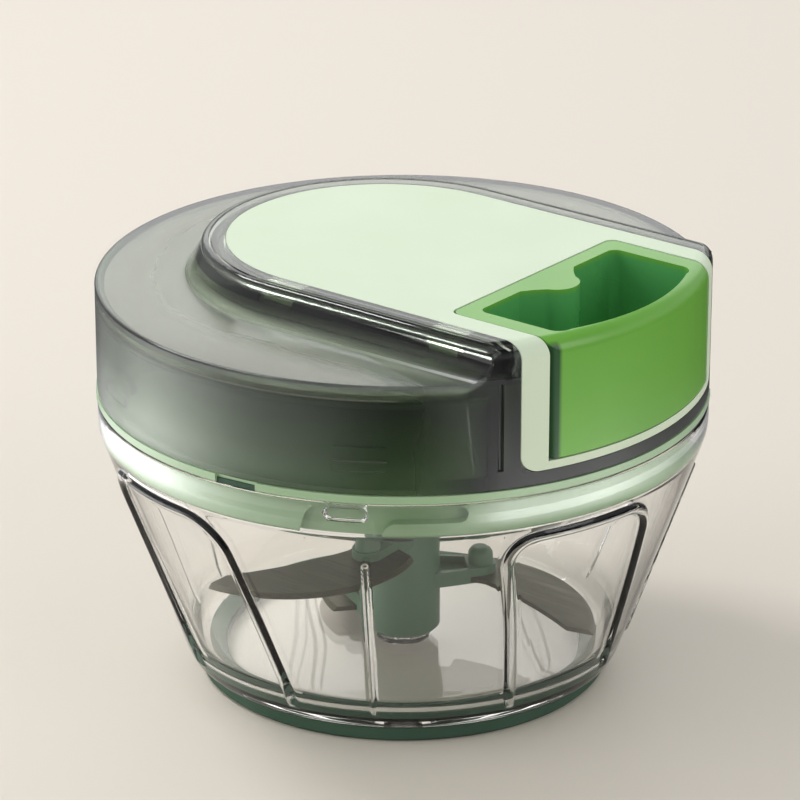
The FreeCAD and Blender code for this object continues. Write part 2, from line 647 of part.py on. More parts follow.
def clock_spring():
    """Flat spiral steel band: half turns about two centres, hooked to the drum at the inside and the can outside."""
    strip, pitch, half_turns = 0.45, 2.6, 11
    r_start = 9.6
    z0, z1 = 81.6, 86.2

    def spiral(offset):
        points = []
        for k in range(half_turns + 1):
            side = 1 if k % 2 == 0 else -1
            points.append(side * (r_start + offset + k * pitch / 2))
        return points

    inner, outer = spiral(-strip / 2), spiral(strip / 2)

    def arc_steps(marks):
        steps = []
        for k in range(len(marks) - 1):
            centre = (marks[k] + marks[k + 1]) / 2
            radius = abs(marks[k + 1] - marks[k]) / 2
            bulge = radius if k % 2 == 0 else -radius
            steps.append(((centre, bulge), (marks[k + 1], 0)))
        return steps

    there = arc_steps(outer)
    back = []
    for k in range(len(inner) - 1, 0, -1):
        centre = (inner[k] + inner[k - 1]) / 2
        radius = abs(inner[k] - inner[k - 1]) / 2
        bulge = radius if (k - 1) % 2 == 0 else -radius
        back.append(((centre, bulge), (inner[k - 1], 0)))
    steps = there + [(inner[-1], 0)] + back
    band = plan_prism((outer[0], 0), *steps, z0=z0, z1=z1)
    inner_hook = box(7.4, r_start + strip / 2, -0.45, 0.0, z0, z1)
    end_x = outer[-1]
    outer_hook = box(-CAN_R[0] - 0.7, end_x + strip + 0.05, 0.0, 0.45, z0, z1)
    print("clock spring gap between turns %.2f mm" % (pitch - strip))
    return only_solid(fused(band, inner_hook, outer_hook))


def lower_bush():
    """Flanged bush in the floor's collar."""
    r = JOURNAL_R + FIT
    return turned((r, 53.6), (7.5, 53.6), (7.5, 60.2), (8.6, 60.2), (8.6, 60.7), (r, 60.7))


def upper_bush():
    """Small bush in the spring cap."""
    return tube(SHAFT_TOP_R + FIT, 6.0, CAN_Z[1] - 0.9, CAN_Z[1] + 1.8)


def cord_eyelet():
    """Smooth flanged eyelet in the bay's back wall."""
    bore = CORD_D / 2 + 0.25
    x0, x1 = 28.3, HANDLE_BACK_X - SHUT_GAP
    face = closed_outline(
        (x0, 4.0), ((x1 - 1.6, 4.0), (x1 - 1.6, 3.0), (x1, 3.0), (x1, bore + 0.4), (x1 - 0.4, bore),
        (x0 + 1.4, bore), ((x0 + 0.4, bore + 0.4), (x0, bore + 1.4))), lambda x, r: V(x, 0, CORD_Z + r),
    )
    return face.revolve(V(0, 0, CORD_Z), X_AXIS, 360)


def housing_screws():
    """Three pan-head screws through the can's ears."""
    z = CAN_Z[0] + 2.4
    screw = turned((0, z - 5.6), (1.2, z - 5.6), (1.2, z), (2.7, z), (2.7, z + 1.2), (2.0, z + 1.8), (0, z + 1.8))
    slot = box(-0.35, 0.35, -1.8, 1.8, z + 1.0, z + 3)
    screw = screw.cut(fused(slot, box(-1.8, 1.8, -0.35, 0.35, z + 1.0, z + 3)))
    screw.translate(polar(EAR_AT_R, 60))
    return Part.makeCompound(around(screw, 3))


def cord_drum():
    """Drum for the cord, with an internal ratchet ring below and a slotted hub for the spring above."""
    bore = SHAFT_TOP_R + FIT
    flange_low, core_low, core_high, flange_high, hub_top = RATCHET_Z[1], 67.2, 79.4, 81.0, 86.4
    body = turned(
        (bore, flange_low), (DRUM_FLANGE_R - 0.4, flange_low), (DRUM_FLANGE_R, flange_low + 0.4),
        (DRUM_FLANGE_R, core_low), (DRUM_CORE_R, core_low), (DRUM_CORE_R, core_high),
        (DRUM_FLANGE_R, core_high), (DRUM_FLANGE_R, flange_high - 0.4), (DRUM_FLANGE_R - 0.4, flange_high),
        (8.8, flange_high), (8.8, hub_top - 0.5), (8.3, hub_top), (bore, hub_top),
    )
    outline = []
    for k in range(TEETH):
        a = 360.0 / TEETH * k
        outline.append((TOOTH_R[1] * math.cos(math.radians(a)), TOOTH_R[1] * math.sin(math.radians(a))))
        a += 360.0 / TEETH
        outline.append((TOOTH_R[0] * math.cos(math.radians(a)), TOOTH_R[0] * math.sin(math.radians(a))))
    teeth = plan_prism(outline[0], *outline[1:], z0=RATCHET_Z[0] - 1, z1=RATCHET_Z[1] + 1)
    ring = Part.makeCylinder(RATCHET_R, RATCHET_Z[1] - RATCHET_Z[0] + 0.2, V(0, 0, RATCHET_Z[0])).cut(teeth)
    inlet, heading = winding_inlet()
    lug_low, lug_high = core_low - 0.5, inlet.z + 0.95
    lug = box(-INLET_RUN - LUG_THICK, -INLET_RUN, -2.6, 2.6, lug_low - inlet.z, lug_high - inlet.z)
    slot_half = CORD_D / 2 + FIT
    slot = box(-INLET_RUN - 3, -INLET_RUN + 1, -slot_half, slot_half, -slot_half, 3)
    body = fused(body, ring, placed_along(lug.cut(slot), inlet, heading))
    spring_slot = box(7.0, 12.0, -0.75, 0.35, flange_high + 0.2, hub_top + 1)
    lightening = around(Part.makeCylinder(2.4, 3.0, V(19.3, 0, core_high - 0.5)), 6)
    body = body.cut(spring_slot)
    for hole in lightening:
        body = body.cut(hole)
    return only_solid(body)


def placed_along(shape, point, direction):
    """Moves a shape made at the origin so that its X axis points along a level direction."""
    shape.rotate(ORIGIN, Z_AXIS, math.degrees(math.atan2(direction.y, direction.x)))
    shape.translate(point)
    return shape


def exit_angle():
    """The angle on the drum where the cord leaves for the eyelet."""
    return -math.degrees(math.acos(WIND_R / EYELET_X))


def winding_point(turn):
    """A point on the winding, counted in turns back from where the cord leaves: one helix down the core."""
    return polar(WIND_R, exit_angle() - 360 * turn, CORD_Z - WIND_PITCH * turn)


def winding_direction(turn):
    """The cord's direction there, towards the handle."""
    a = math.radians(exit_angle() - 360 * turn)
    climb = WIND_PITCH / (2 * math.pi)
    return V(-WIND_R * math.sin(a), WIND_R * math.cos(a), climb).normalize()


def winding_inlet():
    """Where the innermost turn starts, and the level direction it starts in."""
    d = winding_direction(WIND_TURNS)
    return winding_point(WIND_TURNS), V(d.x, d.y, 0).normalize()


def cord_winding():
    """The wound stretch of cord, one layer of real turns on the core."""
    inlet, level = winding_inlet()
    curves = [Part.LineSegment(inlet - level * (INLET_RUN + LUG_THICK), inlet)]
    quarters = int(round(WIND_TURNS * 4))
    for k in range(quarters, 0, -1):
        t0, t1 = k / 4, (k - 1) / 4
        d0 = level if k == quarters else winding_direction(t0)
        d1 = winding_direction(t1)
        if k == 1:
            d1 = V(d1.x, d1.y, 0)
        curves += blend_arcs(winding_point(t0), d0, winding_point(t1), d1)
    steps = 24
    gap = min(
        (winding_point(i / steps) - winding_point(j / steps)).Length
        for i in range(int(WIND_TURNS * steps))
        for j in range(i + steps // 2, int(WIND_TURNS * steps))
    ) - CORD_D
    print("cord winding: %.0f mm of cord, least gap to itself %.2f mm" % (WIND_TURNS * 2 * math.pi * WIND_R, gap))
    return rod(curves, CORD_D / 2)


def cord_lead():
    """The stretch from the drum, bent once at the eyelet, to the knot in the handle."""
    start = winding_point(0)
    corner = V(EYELET_X, 0, CORD_Z)
    heading = (corner - start).normalize()
    turn = math.atan2(abs(heading.y), heading.x)
    cut_back = CORD_BEND_R * math.tan(turn / 2)
    a, b = corner - heading * cut_back, corner + X_AXIS * cut_back
    finish = V(LEAD_END_X, 0, CORD_Z)
    curves = [Part.LineSegment(start, a), tangent_arc(a, corner, b), Part.LineSegment(b, finish)]
    print("cord lead: %.1f mm, bend radius %.1f mm" % (sum(c.length() for c in curves), CORD_BEND_R))
    return rod(curves, CORD_D / 2)


def knot(centre, axis):
    """A pulled-tight knot: a squat barrel with a waist."""
    face = closed_outline(
        (-1.5, 0), ((-1.5, 0.9), (-1.1, 1.8), (-0.5, 2.0), (0.0, 1.5), (0.6, 1.9), (1.2, 1.6), (1.5, 0.8), (1.5, 0)),
        lambda along, r: V(along, 0, r),
    )
    solid = face.revolve(ORIGIN, X_AXIS, 360)
    return placed_along(solid, centre, axis)


def handle_knot():
    """Knot that holds the cord in the handle's bulge."""
    return knot(V(LEAD_END_X + KNOT_HALF, 0, CORD_Z), X_AXIS)


def drum_knot():
    """Knot that holds the cord's inner end behind the drum's anchor lug."""
    inlet, level = winding_inlet()
    return knot(inlet - level * (INLET_RUN + LUG_THICK + KNOT_HALF), level)


def hexagon(flats, z0, z1):
    """A hexagonal bar."""
    r = flats / math.sqrt(3)
    points = [(r * math.cos(math.radians(60 * k)), r * math.sin(math.radians(60 * k))) for k in range(6)]
    return plan_prism(points[0], *points[1:], z0=z0, z1=z1)


def drive_shaft():
    """Stepped shaft: hexagon into the blade hub, journal in the bush, hexagon in the clutch, thin end in the drum."""
    low = hexagon(HEX_FLATS, 39.0, 55.4)
    journal = tube(0, JOURNAL_R, 55.2, 60.9)
    upper = hexagon(HEX_FLATS, 60.8, 65.9)
    top = turned((0, 65.5), (SHAFT_TOP_R, 65.5), (SHAFT_TOP_R, 88.2), (SHAFT_TOP_R - 0.5, 88.7), (0, 88.7))
    groove = tube(3.4, 6.0, 52.75, 53.35)
    return only_solid(fused(low, journal, upper, top).cut(groove))


def clutch_disc():
    """One-way clutch: a hub with three springy arms that push inside the drum's ratchet ring."""
    z0, z1 = 61.0, 65.3
    hub = tube(0, 9.0, z0, z1)
    tooth_step = 360.0 / TEETH
    arms = []
    for k in range(3):
        a = 4 * tooth_step * k
        arm = sector(13.6, 15.3, z0, z1, a + 2.5, a + 78)
        spoke = box(8.0, 15.0, -1.6, 1.6, z0, z1)
        spoke.rotate(ORIGIN, Z_AXIS, a + 76)
        tip = [polar(13.6, a + 1.2), polar(TOOTH_R[1] - 0.5, a + 1.2), polar(TOOTH_R[1] - 1.05, a + 5.0),
               polar(15.2, a + 17.0), polar(13.6, a + 17.0)]
        tip = [(p.x, p.y) for p in tip]
        arms += [arm, spoke, plan_prism(tip[0], *tip[1:], z0=z0, z1=z1)]
    body = fused(hub, *arms)
    return only_solid(body.cut(hexagon(HEX_FLATS + 0.1, z0 - 1, z1 + 1)))


def thrust_washer():
    """Washer between the clutch disc and the drum."""
    return tube(5.0, 8.4, 65.35, 65.95)


def shaft_clip():
    """Snap ring in the shaft's groove, under the lower bush."""
    ring = tube(3.45, 5.8, 52.8, 53.3)
    return only_solid(ring.cut(box(0, 8, -1.3, 1.3, 52, 54)))


def blade_outline(arm_angle, trail, tip_r, z):
    """Sickle plan: a bulging cutting edge, a short straight end, and a hollow back edge."""
    reach = tip_r / 47.6
    extra = trail - 28.4

    def at(r, degrees):
        p = polar(r, arm_angle + degrees)
        return (p.x, p.y)

    return plan_prism(
        at(15.5, 34), (at(36.1 * reach, -0.5 - extra), at(tip_r, -trail)), at(tip_r - 5.0, -trail - 1.8),
        (at(31.0 * reach, -25 - 0.75 * extra), at(17.5, -18)), at(10.0, -8), at(10.0, 14),
        z0=z, z1=z + BLADE_THICK,
    )


def blade(arm_angle, top_z, trail, tip_r):
    """One sickle blade, its cutting edge ground to a bevel from above."""
    z = top_z - ARM_THICK + BLADE_IN_ARM
    body = blade_outline(arm_angle, trail, tip_r, z)
    arcs = [e for e in body.Edges if e.Curve.TypeId == "Part::GeomCircle" and e.BoundBox.ZMin > z + BLADE_THICK / 2]
    ground = max(arcs, key=lambda e: e.Length)
    return only_solid(body.makeChamfer(BEVEL, [ground]))


def blade_arm(arm_angle, top_z):
    """A moulded arm from the hub to its peg: tapered, rounded at the end, with a trough between thin lips."""
    arm = plan_prism(
        (0, -ARM_ROOT), (PEG_AT_R, -ARM_END), ((PEG_AT_R + ARM_END, 0), (PEG_AT_R, ARM_END)), (0, ARM_ROOT),
        z0=top_z - ARM_THICK, z1=top_z,
    )
    far = PEG_AT_R - PEG_R - 0.4
    near_half = ARM_ROOT - ARM_LIP
    far_half = near_half + (ARM_END - ARM_ROOT) * far / PEG_AT_R
    trough = plan_prism(
        (0, -near_half), (far, -far_half), (far, far_half), (0, near_half), z0=top_z - TROUGH_DEPTH, z1=top_z + 1,
    )
    arm = arm.cut(trough)
    arm.rotate(ORIGIN, Z_AXIS, arm_angle)
    return arm


def blade_hub():
    """Column with three arms at three heights, a hexagon socket above and a bore for the centre pin below."""
    z0, z1 = HUB_Z
    column = turned((0, z0), (HUB_R - 0.8, z0), (HUB_R, z0 + 0.8), (HUB_R, z1 - 0.4), (HUB_R - 0.4, z1), (0, z1))
    arms = [blade_arm(angle, top) for _, angle, top, _, _ in BLADES]
    body = fused(column, *arms)
    for _, angle, top, trail, tip_r in BLADES:
        body = body.cut(blade(angle, top, trail, tip_r))
        body = body.cut(Part.makeCylinder(1.5, ARM_THICK + 2, polar(PEG_AT_R, angle, top - ARM_THICK - 1)))
    body = body.cut(hexagon(HEX_FLATS + 0.1, 38.0, z1 + 1))
    bore = turned(
        (0, z0 - 1), (PIN_R + FIT, z0 - 1), (PIN_R + FIT, PIN_TOP_Z - 0.8), (PIN_R - 0.6, PIN_TOP_Z + 0.3),
        (0, PIN_TOP_Z + 0.3),
    )
    return only_solid(body.cut(bore))


def blade_pegs():
    """Three domed pegs, each with a stem down through its arm and blade."""
    pegs = []
    for _, angle, top, _, _ in BLADES:
        peg = turned((0, -ARM_THICK), (1.5, -ARM_THICK), (1.5, 0), (PEG_R, 0), *rounded_top(PEG_R, PEG_H, 1.6))
        peg.translate(polar(PEG_AT_R, angle, top))
        pegs.append(peg)
    return Part.makeCompound(pegs)


def drilled_blade(angle, top, trail, tip_r):
    """A blade with the hole that its peg's stem goes through."""
    body = blade(angle, top, trail, tip_r)
    return only_solid(body.cut(Part.makeCylinder(1.5, 5, polar(PEG_AT_R, angle, top - ARM_THICK))))


NODES = {
    "bowl": bowl,
    "anti_slip_ring": anti_slip_ring,
    "centre_pin": centre_pin,
    "lid_seal": lid_seal,
    "lower_housing": lower_housing,
    "inner_deck": inner_deck,
    "smoke_cover": smoke_cover,
    "frame_gasket": frame_gasket,
    "top_plate": top_plate,
    "pull_handle": pull_handle,
    "drum_housing": drum_housing,
    "spring_cap": spring_cap,
    "clock_spring": clock_spring,
    "lower_bush": lower_bush,
    "upper_bush": upper_bush,
    "cord_eyelet": cord_eyelet,
    "housing_screws": housing_screws,
    "cord_drum": cord_drum,
    "cord_winding": cord_winding,
    "drum_knot": drum_knot,
    "cord_lead": cord_lead,
    "handle_knot": handle_knot,
    "drive_shaft": drive_shaft,
    "clutch_disc": clutch_disc,
    "thrust_washer": thrust_washer,
    "shaft_clip": shaft_clip,
    "blade_hub": blade_hub,
    "blade_pegs": blade_pegs,
}

os.makedirs("parts", exist_ok=True)
shapes = {name: make() for name, make in NODES.items()}
for blade_name, arm, top, trail, tip_r in BLADES:
    shapes[blade_name] = drilled_blade(arm, top, trail, tip_r)
for name, shape in shapes.items():
    shape.exportStep("parts/%s.step" % name)
    size = shape.BoundBox
    print("%-16s %6.1f x %6.1f x %5.1f mm, %d solid, valid %s" % (
        name, size.XLength, size.YLength, size.ZLength, len(shape.Solids), shape.isValid()))
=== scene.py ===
# %% [markdown]
# # A pull-string food chopper, seen close
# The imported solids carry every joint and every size. This script dresses them: it keeps their places, gives each
# visible surface a finish of its own, and works out afresh the few shapes whose light matters most. A clear bowl shows
# every facet, so the bowl is the piece that gains most from a surface of its own.

# %% Load the frame
import json
import math

import bmesh
import bpy
import numpy as np
from mathutils import Matrix, Vector


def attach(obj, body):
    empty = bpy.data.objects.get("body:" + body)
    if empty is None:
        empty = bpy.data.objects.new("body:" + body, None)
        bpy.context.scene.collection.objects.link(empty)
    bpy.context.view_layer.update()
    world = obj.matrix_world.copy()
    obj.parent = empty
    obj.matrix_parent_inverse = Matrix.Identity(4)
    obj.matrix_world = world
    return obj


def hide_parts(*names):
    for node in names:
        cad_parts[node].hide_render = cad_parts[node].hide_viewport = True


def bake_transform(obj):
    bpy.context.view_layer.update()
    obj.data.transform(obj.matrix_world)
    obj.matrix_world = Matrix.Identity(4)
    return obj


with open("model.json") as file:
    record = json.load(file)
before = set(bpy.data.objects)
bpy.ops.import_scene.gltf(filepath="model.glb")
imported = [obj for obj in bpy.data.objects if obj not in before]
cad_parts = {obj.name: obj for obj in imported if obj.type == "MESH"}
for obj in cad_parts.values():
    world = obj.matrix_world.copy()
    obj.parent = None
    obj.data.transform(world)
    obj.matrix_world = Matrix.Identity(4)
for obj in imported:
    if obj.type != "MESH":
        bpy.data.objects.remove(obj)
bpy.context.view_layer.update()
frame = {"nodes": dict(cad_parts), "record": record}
scene = bpy.context.scene
MM = 0.001

# %% [markdown]
# ## The camera
# A product photograph is taken from far away with a long lens, so that the lid stays round and the bowl doesn't lean.
# The camera is turned round the object by an azimuth, raised by an elevation, and aimed at a point on its axis.

# %% Camera
VIEW_AZIMUTH, VIEW_ELEVATION = 38.02, 21.80
VIEW_DISTANCE = 0.9002
AIM_HEIGHT, AIM_LEFT = 57.0 * MM, 0.66 * MM
LENS, SENSOR = 197.65, 36.0

turn = Matrix.Rotation(math.radians(VIEW_AZIMUTH), 4, "Z")
tilt = Matrix.Rotation(math.radians(90 - VIEW_ELEVATION), 4, "X")
camera = bpy.data.objects.new("photo_camera", bpy.data.cameras.new("photo_camera"))
camera.data.lens = LENS
camera.data.sensor_width = SENSOR
camera.data.clip_start, camera.data.clip_end = 0.05, 20.0
aim = Matrix.Translation(turn @ Vector((-AIM_LEFT, 0, AIM_HEIGHT)))
camera.matrix_world = aim @ turn @ tilt @ Matrix.Translation((0, 0, VIEW_DISTANCE))
scene.collection.objects.link(camera)
scene.camera = camera
print("camera at", [round(v, 3) for v in camera.matrix_world.translation])

# %% [markdown]
# ## Floor, backdrop and soft light
# Gloss shows what stands round the object. To the eye the floor is pale and plain, but rays that leave a gloss find a
# ring of bright cards and dark flags on it, as a studio sets them up out of the picture. The world is pale behind the
# object and through its clear bowl, and dimmer in gloss, so that dark plastic stays dark. Soft boxes give the light.

# %% Small helpers for shader nodes
def new_material(name):
    """An empty material, its node tree, and its Principled shader, which feeds the output."""
    material = bpy.data.materials.new(name)
    material.use_nodes = True
    tree = material.node_tree
    tree.nodes.clear()
    out = tree.nodes.new("ShaderNodeOutputMaterial")
    shader = tree.nodes.new("ShaderNodeBsdfPrincipled")
    tree.links.new(shader.outputs["BSDF"], out.inputs["Surface"])
    return material, tree, shader


def feed(tree, socket, value):
    """Links a socket to another, or sets it to a fixed value."""
    if isinstance(value, bpy.types.NodeSocket):
        tree.links.new(value, socket)
    else:
        socket.default_value = value


def add_node(tree, kind, settings=None, **inputs):
    """Adds a node, sets its properties, and feeds inputs by name, spaces written as _, or by number, as i0, i1."""
    node = tree.nodes.new(kind)
    for key, value in (settings or {}).items():
        setattr(node, key, value)
    for key, value in inputs.items():
        numbered = key[0] == "i" and key[1:].isdigit()
        feed(tree, node.inputs[int(key[1:]) if numbered else key.replace("_", " ")], value)
    return node


def ramp(tree, value, low, high, at_low=0.0, at_high=1.0, soft=False):
    """The value carried from low..high to two other values, level beyond both ends."""
    kind = {"interpolation_type": "SMOOTHSTEP" if soft else "LINEAR"}
    if low > high:
        low, high, at_low, at_high = high, low, at_high, at_low
    return add_node(tree, "ShaderNodeMapRange", kind, Value=value, From_Min=low, From_Max=high, To_Min=at_low,
                    To_Max=at_high).outputs["Result"]


def maths(tree, operation, *values):
    """One Math node for each further value: a + b + c, a * b * c, and so on."""
    result = values[0]
    for value in values[1:]:
        result = add_node(tree, "ShaderNodeMath", {"operation": operation}, i0=result, i1=value).outputs[0]
    return result


def of_one(tree, operation, value):
    """A Math node with one input, such as the cosine of an angle."""
    return add_node(tree, "ShaderNodeMath", {"operation": operation}, i0=value).outputs[0]


def blended(tree, factor, first, second):
    """A colour that goes from the first to the second by a factor. Either may be a socket or a fixed colour."""
    node = add_node(tree, "ShaderNodeMix", {"data_type": "RGBA"}, Factor=factor)
    feed(tree, node.inputs[6], first)
    feed(tree, node.inputs[7], second)
    return node.outputs[2]


def object_place(tree):
    """Object coordinates, in metres. They stay on a piece as it moves."""
    return add_node(tree, "ShaderNodeTexCoord").outputs["Object"]


def xyz(tree, place):
    """The three numbers of a place, by their names."""
    return add_node(tree, "ShaderNodeSeparateXYZ", Vector=place).outputs


def vector_length(tree, vector):
    """The length of a vector."""
    return add_node(tree, "ShaderNodeVectorMath", {"operation": "LENGTH"}, i0=vector).outputs["Value"]


def noise(tree, place, scale, detail):
    """Soft noise between 0 and 1."""
    return add_node(tree, "ShaderNodeTexNoise", Vector=place, Scale=scale, Detail=detail).outputs["Fac"]


def rgb(red, green, blue):
    """A colour as written on screen, 0 to 255, as the linear light that shaders take."""
    srgb = np.array([red, green, blue]) / 255
    linear = np.where(srgb <= 0.04045, srgb / 12.92, ((srgb + 0.055) / 1.055) ** 2.4)
    return (*linear.tolist(), 1.0)


# %% Floor
FLOOR_COLOUR = rgb(232, 223, 210)
FLOOR_HALF = 3.0
NEAR_R, FAR_R = 0.12, 0.17
GLOSS_PEAK = 5.0
# The oval on the floor that the flange mirrors: its size, its bulge to the front, its lean, and the bulge's breadth.
OVAL_SIZE, OVAL_BULGE, OVAL_LEAN, OVAL_BREADTH = 0.155, 0.062, 0.005, 1.9
# Azimuth from the camera, and how bright the lid's wall finds the floor there: long cards at the left, a flag in front.
WALL_GLOSS = ((-180, 0.1), (-145, 0.35), (-116, 1.4), (-98, 3.5), (-87, 4.1), (-73, 3.6), (-56, 2.2), (-45, 1.6),
              (-24, 0.9), (-12, 0.4), (0, 0.08), (9, 0.02), (17, 1.1), (25, 0.7), (34, 0.45), (50, 0.05), (120, 0.05),
              (180, 0.05))
# The same on the floor nearer in, which only the band and the flange mirror.
BAND_GLOSS = ((-180, 0.05), (-140, 1.0), (-120, 4.0), (-103, 4.6), (-85, 5.0), (-66, 2.0), (-50, 0.7), (0, 0.1),
              (20, 0.8), (32, 4.8), (68, 5.0), (90, 2.0), (108, 0.8), (180, 0.05))


def ring_of_light(tree, azimuth, stops):
    """A colour ramp round the whole turn, each stop an azimuth in degrees and its light."""
    node = add_node(tree, "ShaderNodeValToRGB", Fac=azimuth)
    elements = node.color_ramp.elements
    for degrees, _ in stops[1:-1]:
        elements.new((degrees + 180) / 360)
    for element, (_, light) in zip(elements, stops):
        element.color = (light / GLOSS_PEAK,) * 3 + (1.0,)
    return node.outputs["Color"]


def floor_material():
    """Pale floor. Away from the object, rays that leave a gloss find a ring of bright cards and dark flags on it.

    A ray mirrored down from height h at the camera's elevation lands 2.5 h away, so lines of equal h are ovals round
    the object: 155 mm plus 62 mm times the cosine of azimuth / 1.9 for the flange, which parts the band from the wall.
    """
    material, tree, shader = new_material("pale_floor")
    shader.inputs["Base Color"].default_value = FLOOR_COLOUR
    shader.inputs["Roughness"].default_value = 0.55
    place = object_place(tree)
    turned = add_node(tree, "ShaderNodeMapping", Vector=place,
                      Rotation=(0, 0, math.radians(90 - VIEW_AZIMUTH))).outputs[0]
    azimuth = add_node(tree, "ShaderNodeTexGradient", {"gradient_type": "RADIAL"}, Vector=turned).outputs["Fac"]
    away = vector_length(tree, place)
    angle = maths(tree, "MULTIPLY", maths(tree, "SUBTRACT", azimuth, 0.5), 2 * math.pi)
    bulge = maths(tree, "MULTIPLY", of_one(tree, "COSINE", maths(tree, "DIVIDE", angle, OVAL_BREADTH)), OVAL_BULGE)
    lean = maths(tree, "MULTIPLY", of_one(tree, "SINE", angle), OVAL_LEAN)
    past = maths(tree, "SUBTRACT", away, OVAL_SIZE, bulge, lean)
    rings = [ring_of_light(tree, azimuth, stops) for stops in (BAND_GLOSS, WALL_GLOSS)]
    light = blended(tree, ramp(tree, past, -0.002, 0.002), *rings)
    strength = ramp(tree, past, 0.022, 0.050, GLOSS_PEAK, GLOSS_PEAK * 0.6)
    cards = add_node(tree, "ShaderNodeEmission", Color=light, Strength=strength)
    gloss = add_node(tree, "ShaderNodeLightPath").outputs["Is Glossy Ray"]
    share = maths(tree, "MULTIPLY", ramp(tree, away, NEAR_R, FAR_R), gloss)
    mix = add_node(tree, "ShaderNodeMixShader", i0=share, i1=shader.outputs["BSDF"], i2=cards.outputs[0])
    tree.links.new(mix.outputs[0], tree.nodes["Material Output"].inputs["Surface"])
    return material


def flat_floor():
    """A level square that belongs to the stage, just under the foot."""
    mesh = bpy.data.meshes.new("pale_floor")
    corners = [(x * FLOOR_HALF, y * FLOOR_HALF, -0.1 * MM) for x, y in ((-1, -1), (1, -1), (1, 1), (-1, 1))]
    mesh.from_pydata(corners, [], [(0, 1, 2, 3)])
    mesh.materials.append(floor_material())
    sheet = bpy.data.objects.new("pale_floor", mesh)
    scene.collection.objects.link(sheet)


flat_floor()
print("pale floor, with", len(WALL_GLOSS), "stops of gloss round it")

# %% World
world = bpy.data.worlds.new("studio")
scene.world = world
world.use_nodes = True
tree = world.node_tree
tree.nodes.clear()
light_path = add_node(tree, "ShaderNodeLightPath").outputs
seen = maths(tree, "MAXIMUM", light_path["Is Camera Ray"], light_path["Is Transmission Ray"])
backdrop = add_node(tree, "ShaderNodeBackground", Color=rgb(240, 234, 226), Strength=1.0)
up = xyz(tree, add_node(tree, "ShaderNodeTexCoord").outputs["Generated"])["Z"]
# The fill is stronger from the sides than from above. Gloss finds most light a third of the way up.
fill = ramp(tree, up, 0.1, 0.9, 0.88, 0.30)
mirrored = maths(tree, "MULTIPLY", ramp(tree, up, 0.0, 0.3, 0.4, 0.68), ramp(tree, up, 0.35, 0.8, 1.0, 0.2))
level = add_node(tree, "ShaderNodeMix", {"data_type": "FLOAT"}, Factor=light_path["Is Glossy Ray"], A=fill, B=mirrored)
around = add_node(tree, "ShaderNodeBackground", Color=(0.97, 0.98, 1.0, 1.0), Strength=level.outputs[0])
mix = add_node(tree, "ShaderNodeMixShader", i0=seen, i1=around.outputs[0], i2=backdrop.outputs[0])
out = add_node(tree, "ShaderNodeOutputWorld")
tree.links.new(mix.outputs[0], out.inputs["Surface"])
scene.view_settings.view_transform = "Standard"
print("world ready")


# %% Lamps
def soft_box(name, azimuth, elevation, distance, width, height, radiance, in_gloss=True, card=False):
    """A lamp aimed at the object, its azimuth counted round the axis. A card shows in gloss alone and lights nothing.

    Angles are in degrees and lengths in metres. Its power is its radiance times pi times its area.
    """
    lamp = bpy.data.lights.new(name, "AREA")
    lamp.shape = "RECTANGLE"
    lamp.size, lamp.size_y = width, height
    lamp.energy = radiance * math.pi * width * height
    obj = bpy.data.objects.new(name, lamp)
    a, e = math.radians(azimuth), math.radians(elevation)
    place = Vector((math.cos(e) * math.sin(a), -math.cos(e) * math.cos(a), math.sin(e))) * distance
    obj.location = place + Vector((0, 0, AIM_HEIGHT))
    obj.rotation_euler = place.to_track_quat("Z", "Y").to_euler()
    obj.visible_camera = False
    obj.visible_glossy = in_gloss
    obj.visible_diffuse = not card
    scene.collection.objects.link(obj)


soft_box("window_left", VIEW_AZIMUTH - 80, 22, 1.3, 0.7, 0.7, 2.4, in_gloss=False)
soft_box("window_right", VIEW_AZIMUTH + 62, 24, 1.4, 0.5, 0.7, 2.0)
soft_box("ceiling", VIEW_AZIMUTH, 82, 1.6, 1.4, 1.4, 0.62)
soft_box("key_behind_left", VIEW_AZIMUTH - 128, 50, 1.2, 0.35, 0.35, 12.0, in_gloss=False)
soft_box("edge_card", VIEW_AZIMUTH - 128, 54, 1.2, 0.24, 0.60, 18.0, card=True)
soft_box("window_behind", VIEW_AZIMUTH + 178, 24, 1.2, 1.3, 0.5, 1.1)
print("five soft boxes and a card")

# %% [markdown]
# ## Finishes
# Moulded plastic is never one flat colour. Its gloss wavers where the melt flowed, and a faint grain takes the edge off
# each highlight. One shared group makes both, and each material sets its own values.


# %% Shared group: moulded plastic
PLASTIC_IOR = 1.49
BUMP_HEIGHT = 0.1 * MM
GROUP_INPUTS = (
    ("Colour", "NodeSocketColor", (0.5, 0.5, 0.5, 1)), ("Deeper Colour", "NodeSocketColor", (0.4, 0.4, 0.4, 1)),
    ("Flow Size", "NodeSocketFloat", 40.0), ("Gloss", "NodeSocketFloat", 0.25),
    ("Gloss Change", "NodeSocketFloat", 0.06), ("Grain Size", "NodeSocketFloat", 2500.0),
    ("Grain Depth", "NodeSocketFloat", 0.05))
GROUP_OUTPUTS = (("Colour", "NodeSocketColor"), ("Roughness", "NodeSocketFloat"), ("Normal", "NodeSocketVector"))


